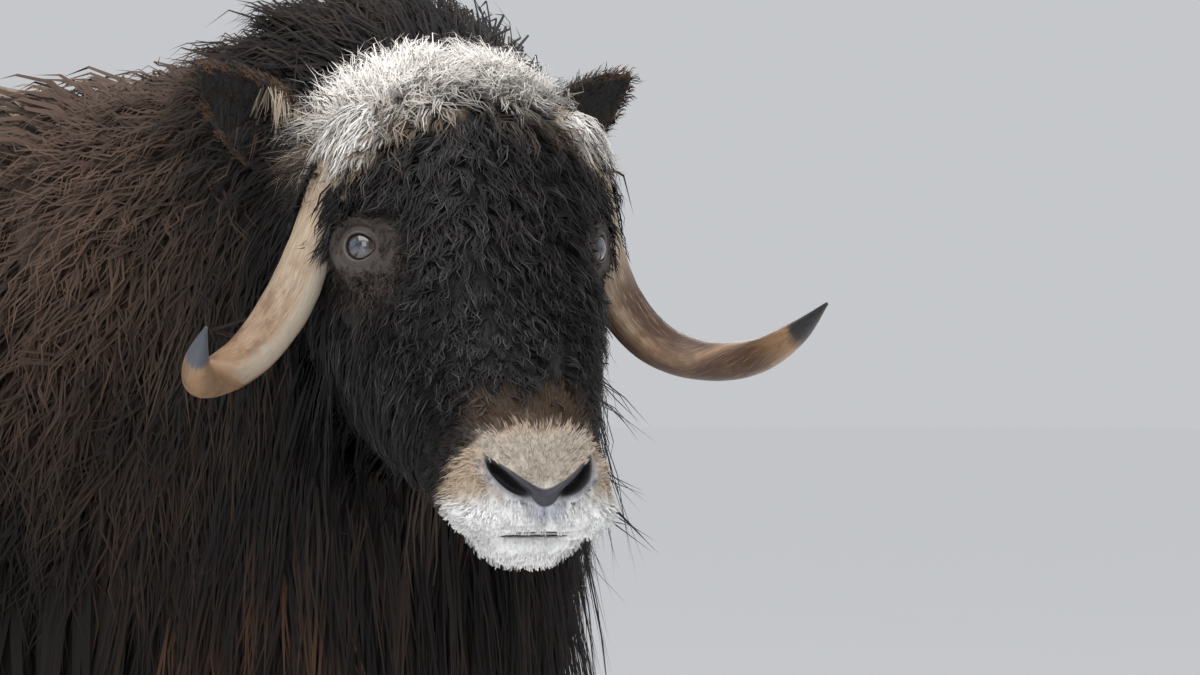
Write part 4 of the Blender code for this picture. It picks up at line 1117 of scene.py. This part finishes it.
# Hair of the ears: short and dark outside and inside, a rusty fringe on the rim, and a cream
# lock that hangs along the inner edge.
ear_dark = hair("ear_hair", 0.65, 0.0, 0.15, 0.4, 0.8, own=(0.024, 0.016, 0.012))
ear_rust = hair("ear_rim", 0.65, 0.0, 0.2, 0.3, 0.8, own=(0.095, 0.052, 0.030))
ear_pale = hair("ear_lock", 0.7, 0.0, 0.0, 0.2, 0.5, own=(0.420, 0.340, 0.260))
for side, word in SIDES.items():
    rings = ear_rings[side][2:]
    _, normals_ear, _ = cells_of(rings)
    share = np.linspace(0, 1, len(normals_ear))[:, None]
    turn = np.arange(normals_ear.shape[1])[None]
    edge = np.minimum(np.abs(turn - 20.5), np.minimum(turn, 42 - turn))
    inner_edge = (edge > 0) * (turn > 37 if side < 0 else (turn > 20) & (turn < 25))
    root, tip = (at_head(side * p[0], p[1], p[2]) for p in (EAR_ROOT, EAR_TIP))
    shaft = unit(tip - root)
    for part, thick, locks, size, lift, lie_down, paint, column in (
        ("back", (turn < 20) * (1 + 0 * share), 240, 0.014, 0.25, 0.1, ear_dark, 0.02),
        ("inside", (turn > 20) * (1 + 0 * share), 140, 0.010, 0.35, 0.1, ear_dark, 0.26),
        ("rim", (edge < 2.5) * (0.4 + share), 200, 0.009, 0.30, 0.0, ear_rust, 0.50),
        ("lock", inner_edge * (share < 0.6), 60, 0.034, 0.3, 1.3, ear_pale, 0.74),
    ):
        places, normals, spots, _ = scattered(rings, thick * 1.0, locks, (column, 0.81, column + 0.22, 0.83))
        lie = unit(shaft * (1.0 - lie_down) + normals * lift + (0, 0, -lie_down))
        lie = unit(lie + draw.normal(0, 0.18, lie.shape))
        knots = np.arange(3)[None, :, None] / 2 * size * draw.uniform(0.7, 1.2, (locks, 1, 1))
        guides = places[:, None] + lie[:, None] * knots - (0, 0, 0.25) * knots**2 / size
        facings = np.repeat(normals[:, None], 3, axis=1)
        coat(f"coat_ear_{word}_{part}", guides, facings, spots, places, paint, 4,
             0.005, 0.0014, 0.4, 0.3, (0.0025, 1.3), (0.6, 1.2))

# Hair of the legs: short, flat and pale from the knee down, ending clear of the
# ground.
for number, rings in enumerate(limb_rings):
    centres_leg, _, _ = cells_of(rings)
    column = 0.02 + number * 0.24
    below = 1 - eased(centres_leg[..., 2], 0.42, 0.50)
    places, normals, spots, _ = scattered(rings, below, 350, (column, 0.84, column + 0.22, 0.98))
    lie = unit(normals * 0.15 + (0, 0.15, -1.0) + draw.normal(0, 0.12, normals.shape))
    size = 0.030 + 0.02 * draw.random(len(places))
    guides, facings = guided(places, normals, lie, size, np.full(len(places), 0.006), 0.0, True, 2)
    guides[..., 2] = np.maximum(guides[..., 2], 0.030 + 0.004 * draw.random(guides.shape[:2]))
    coat(f"coat_leg_{number + 1}", guides, facings, spots, places, body_hair, 4,
         0.007, 0.0045, 0.4, 0.4, (0.001, 1.0), (0.7, 1.1))

# Rump: long hair that hangs over the short tail and closes the coat behind, between the
# skirts of the two sides.
rump_share = (1 - eased(station, 0.9, 2.0)) * eased(top_side, 30, 60)
grow("coat_rump", "skirt", rump_share, 110, 6, lambda f: (0, 0.25, -1.0) + f.normal * (0.15, 0.15, 0),
     lambda f: 0.26 - 0.05 * eased(f.top, 90, 150), level(0.030), body_hair,
     sag=0.4, spread=0.024, width=0.0090, gather=0.6, curl=(0.007, 1.1))

# Skirts: the curtains of guard hair on the frame are worn as the long locks of the flanks,
# which hang in their place on both sides and behind.
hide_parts("skirt_left", "skirt_right", "skirt_rear_left", "skirt_rear_right")

# Setting: a plain pale floor under a soft even sky, a broad lamp overhead, one from the front
# and one from behind.
FLOOR_RADIUS = 60
mesh = bmesh.new()
bmesh.ops.create_circle(mesh, cap_ends=True, segments=96, radius=FLOOR_RADIUS)
floor = piece_of(mesh, "floor")
floor_paint = Paint("floor", Roughness=0.9)
grit = floor_paint.noise(3, 3, 0.5)
floor_paint.wear(Base_Color=floor_paint.blend(grit, (0.95, 0.95, 0.95), (0.97, 0.97, 0.97)))
floor.data.materials.append(floor_paint.material)

world = bpy.data.worlds.new("sky")
world.use_nodes = True
world.node_tree.nodes["Background"].inputs["Color"].default_value = (0.80, 0.82, 0.85, 1)
world.node_tree.nodes["Background"].inputs["Strength"].default_value = 0.70
bpy.context.scene.world = world
bpy.context.scene.view_settings.view_transform = "Standard"
# (name, place, size, power) of each lamp
LAMPS = (
    ("overhead", (-1.0, -1.2, 4.2), 4.0, 200),
    ("front", (-3.4, -3.6, 2.6), 2.6, 60),
    ("rim", (3.2, 2.4, 2.8), 2.0, 60),
)
for name, place, size, power in LAMPS:
    lamp = bpy.data.lights.new(name, "AREA")
    lamp.energy, lamp.size = power, size
    held = bpy.data.objects.new(name, lamp)
    held.location = place
    held.rotation_euler = (Vector((0, -0.3, 0.8)) - Vector(place)).to_track_quat("-Z", "Y").to_euler()
    bpy.context.scene.collection.objects.link(held)

# Camera: level, at the height of the face, six metres off and 42 degrees to the animal's
# right, with a long lens that frames the head and the right shoulder.
CAMERA_SIDE = math.radians(42)
CAMERA_AWAY = 6.0
VIEW_WIDTH = 1.08
PICTURE_RIGHT_OF_EYES, PICTURE_BELOW_EYES = 0.110, 0.0805
to_camera = np.array((-math.sin(CAMERA_SIDE), -math.cos(CAMERA_SIDE), 0))
picture_right = np.array((math.cos(CAMERA_SIDE), -math.sin(CAMERA_SIDE), 0))
camera_data = bpy.data.cameras.new("camera")
camera_data.sensor_width = 36
camera_data.lens = 36 * CAMERA_AWAY / VIEW_WIDTH
camera = bpy.data.objects.new("camera", camera_data)
picture_centre = between_eyes + picture_right * PICTURE_RIGHT_OF_EYES - upwards * PICTURE_BELOW_EYES
camera.location = picture_centre + to_camera * CAMERA_AWAY
camera.rotation_euler = Vector(-to_camera).to_track_quat("-Z", "Y").to_euler()
bpy.context.scene.collection.objects.link(camera)
bpy.context.scene.camera = camera
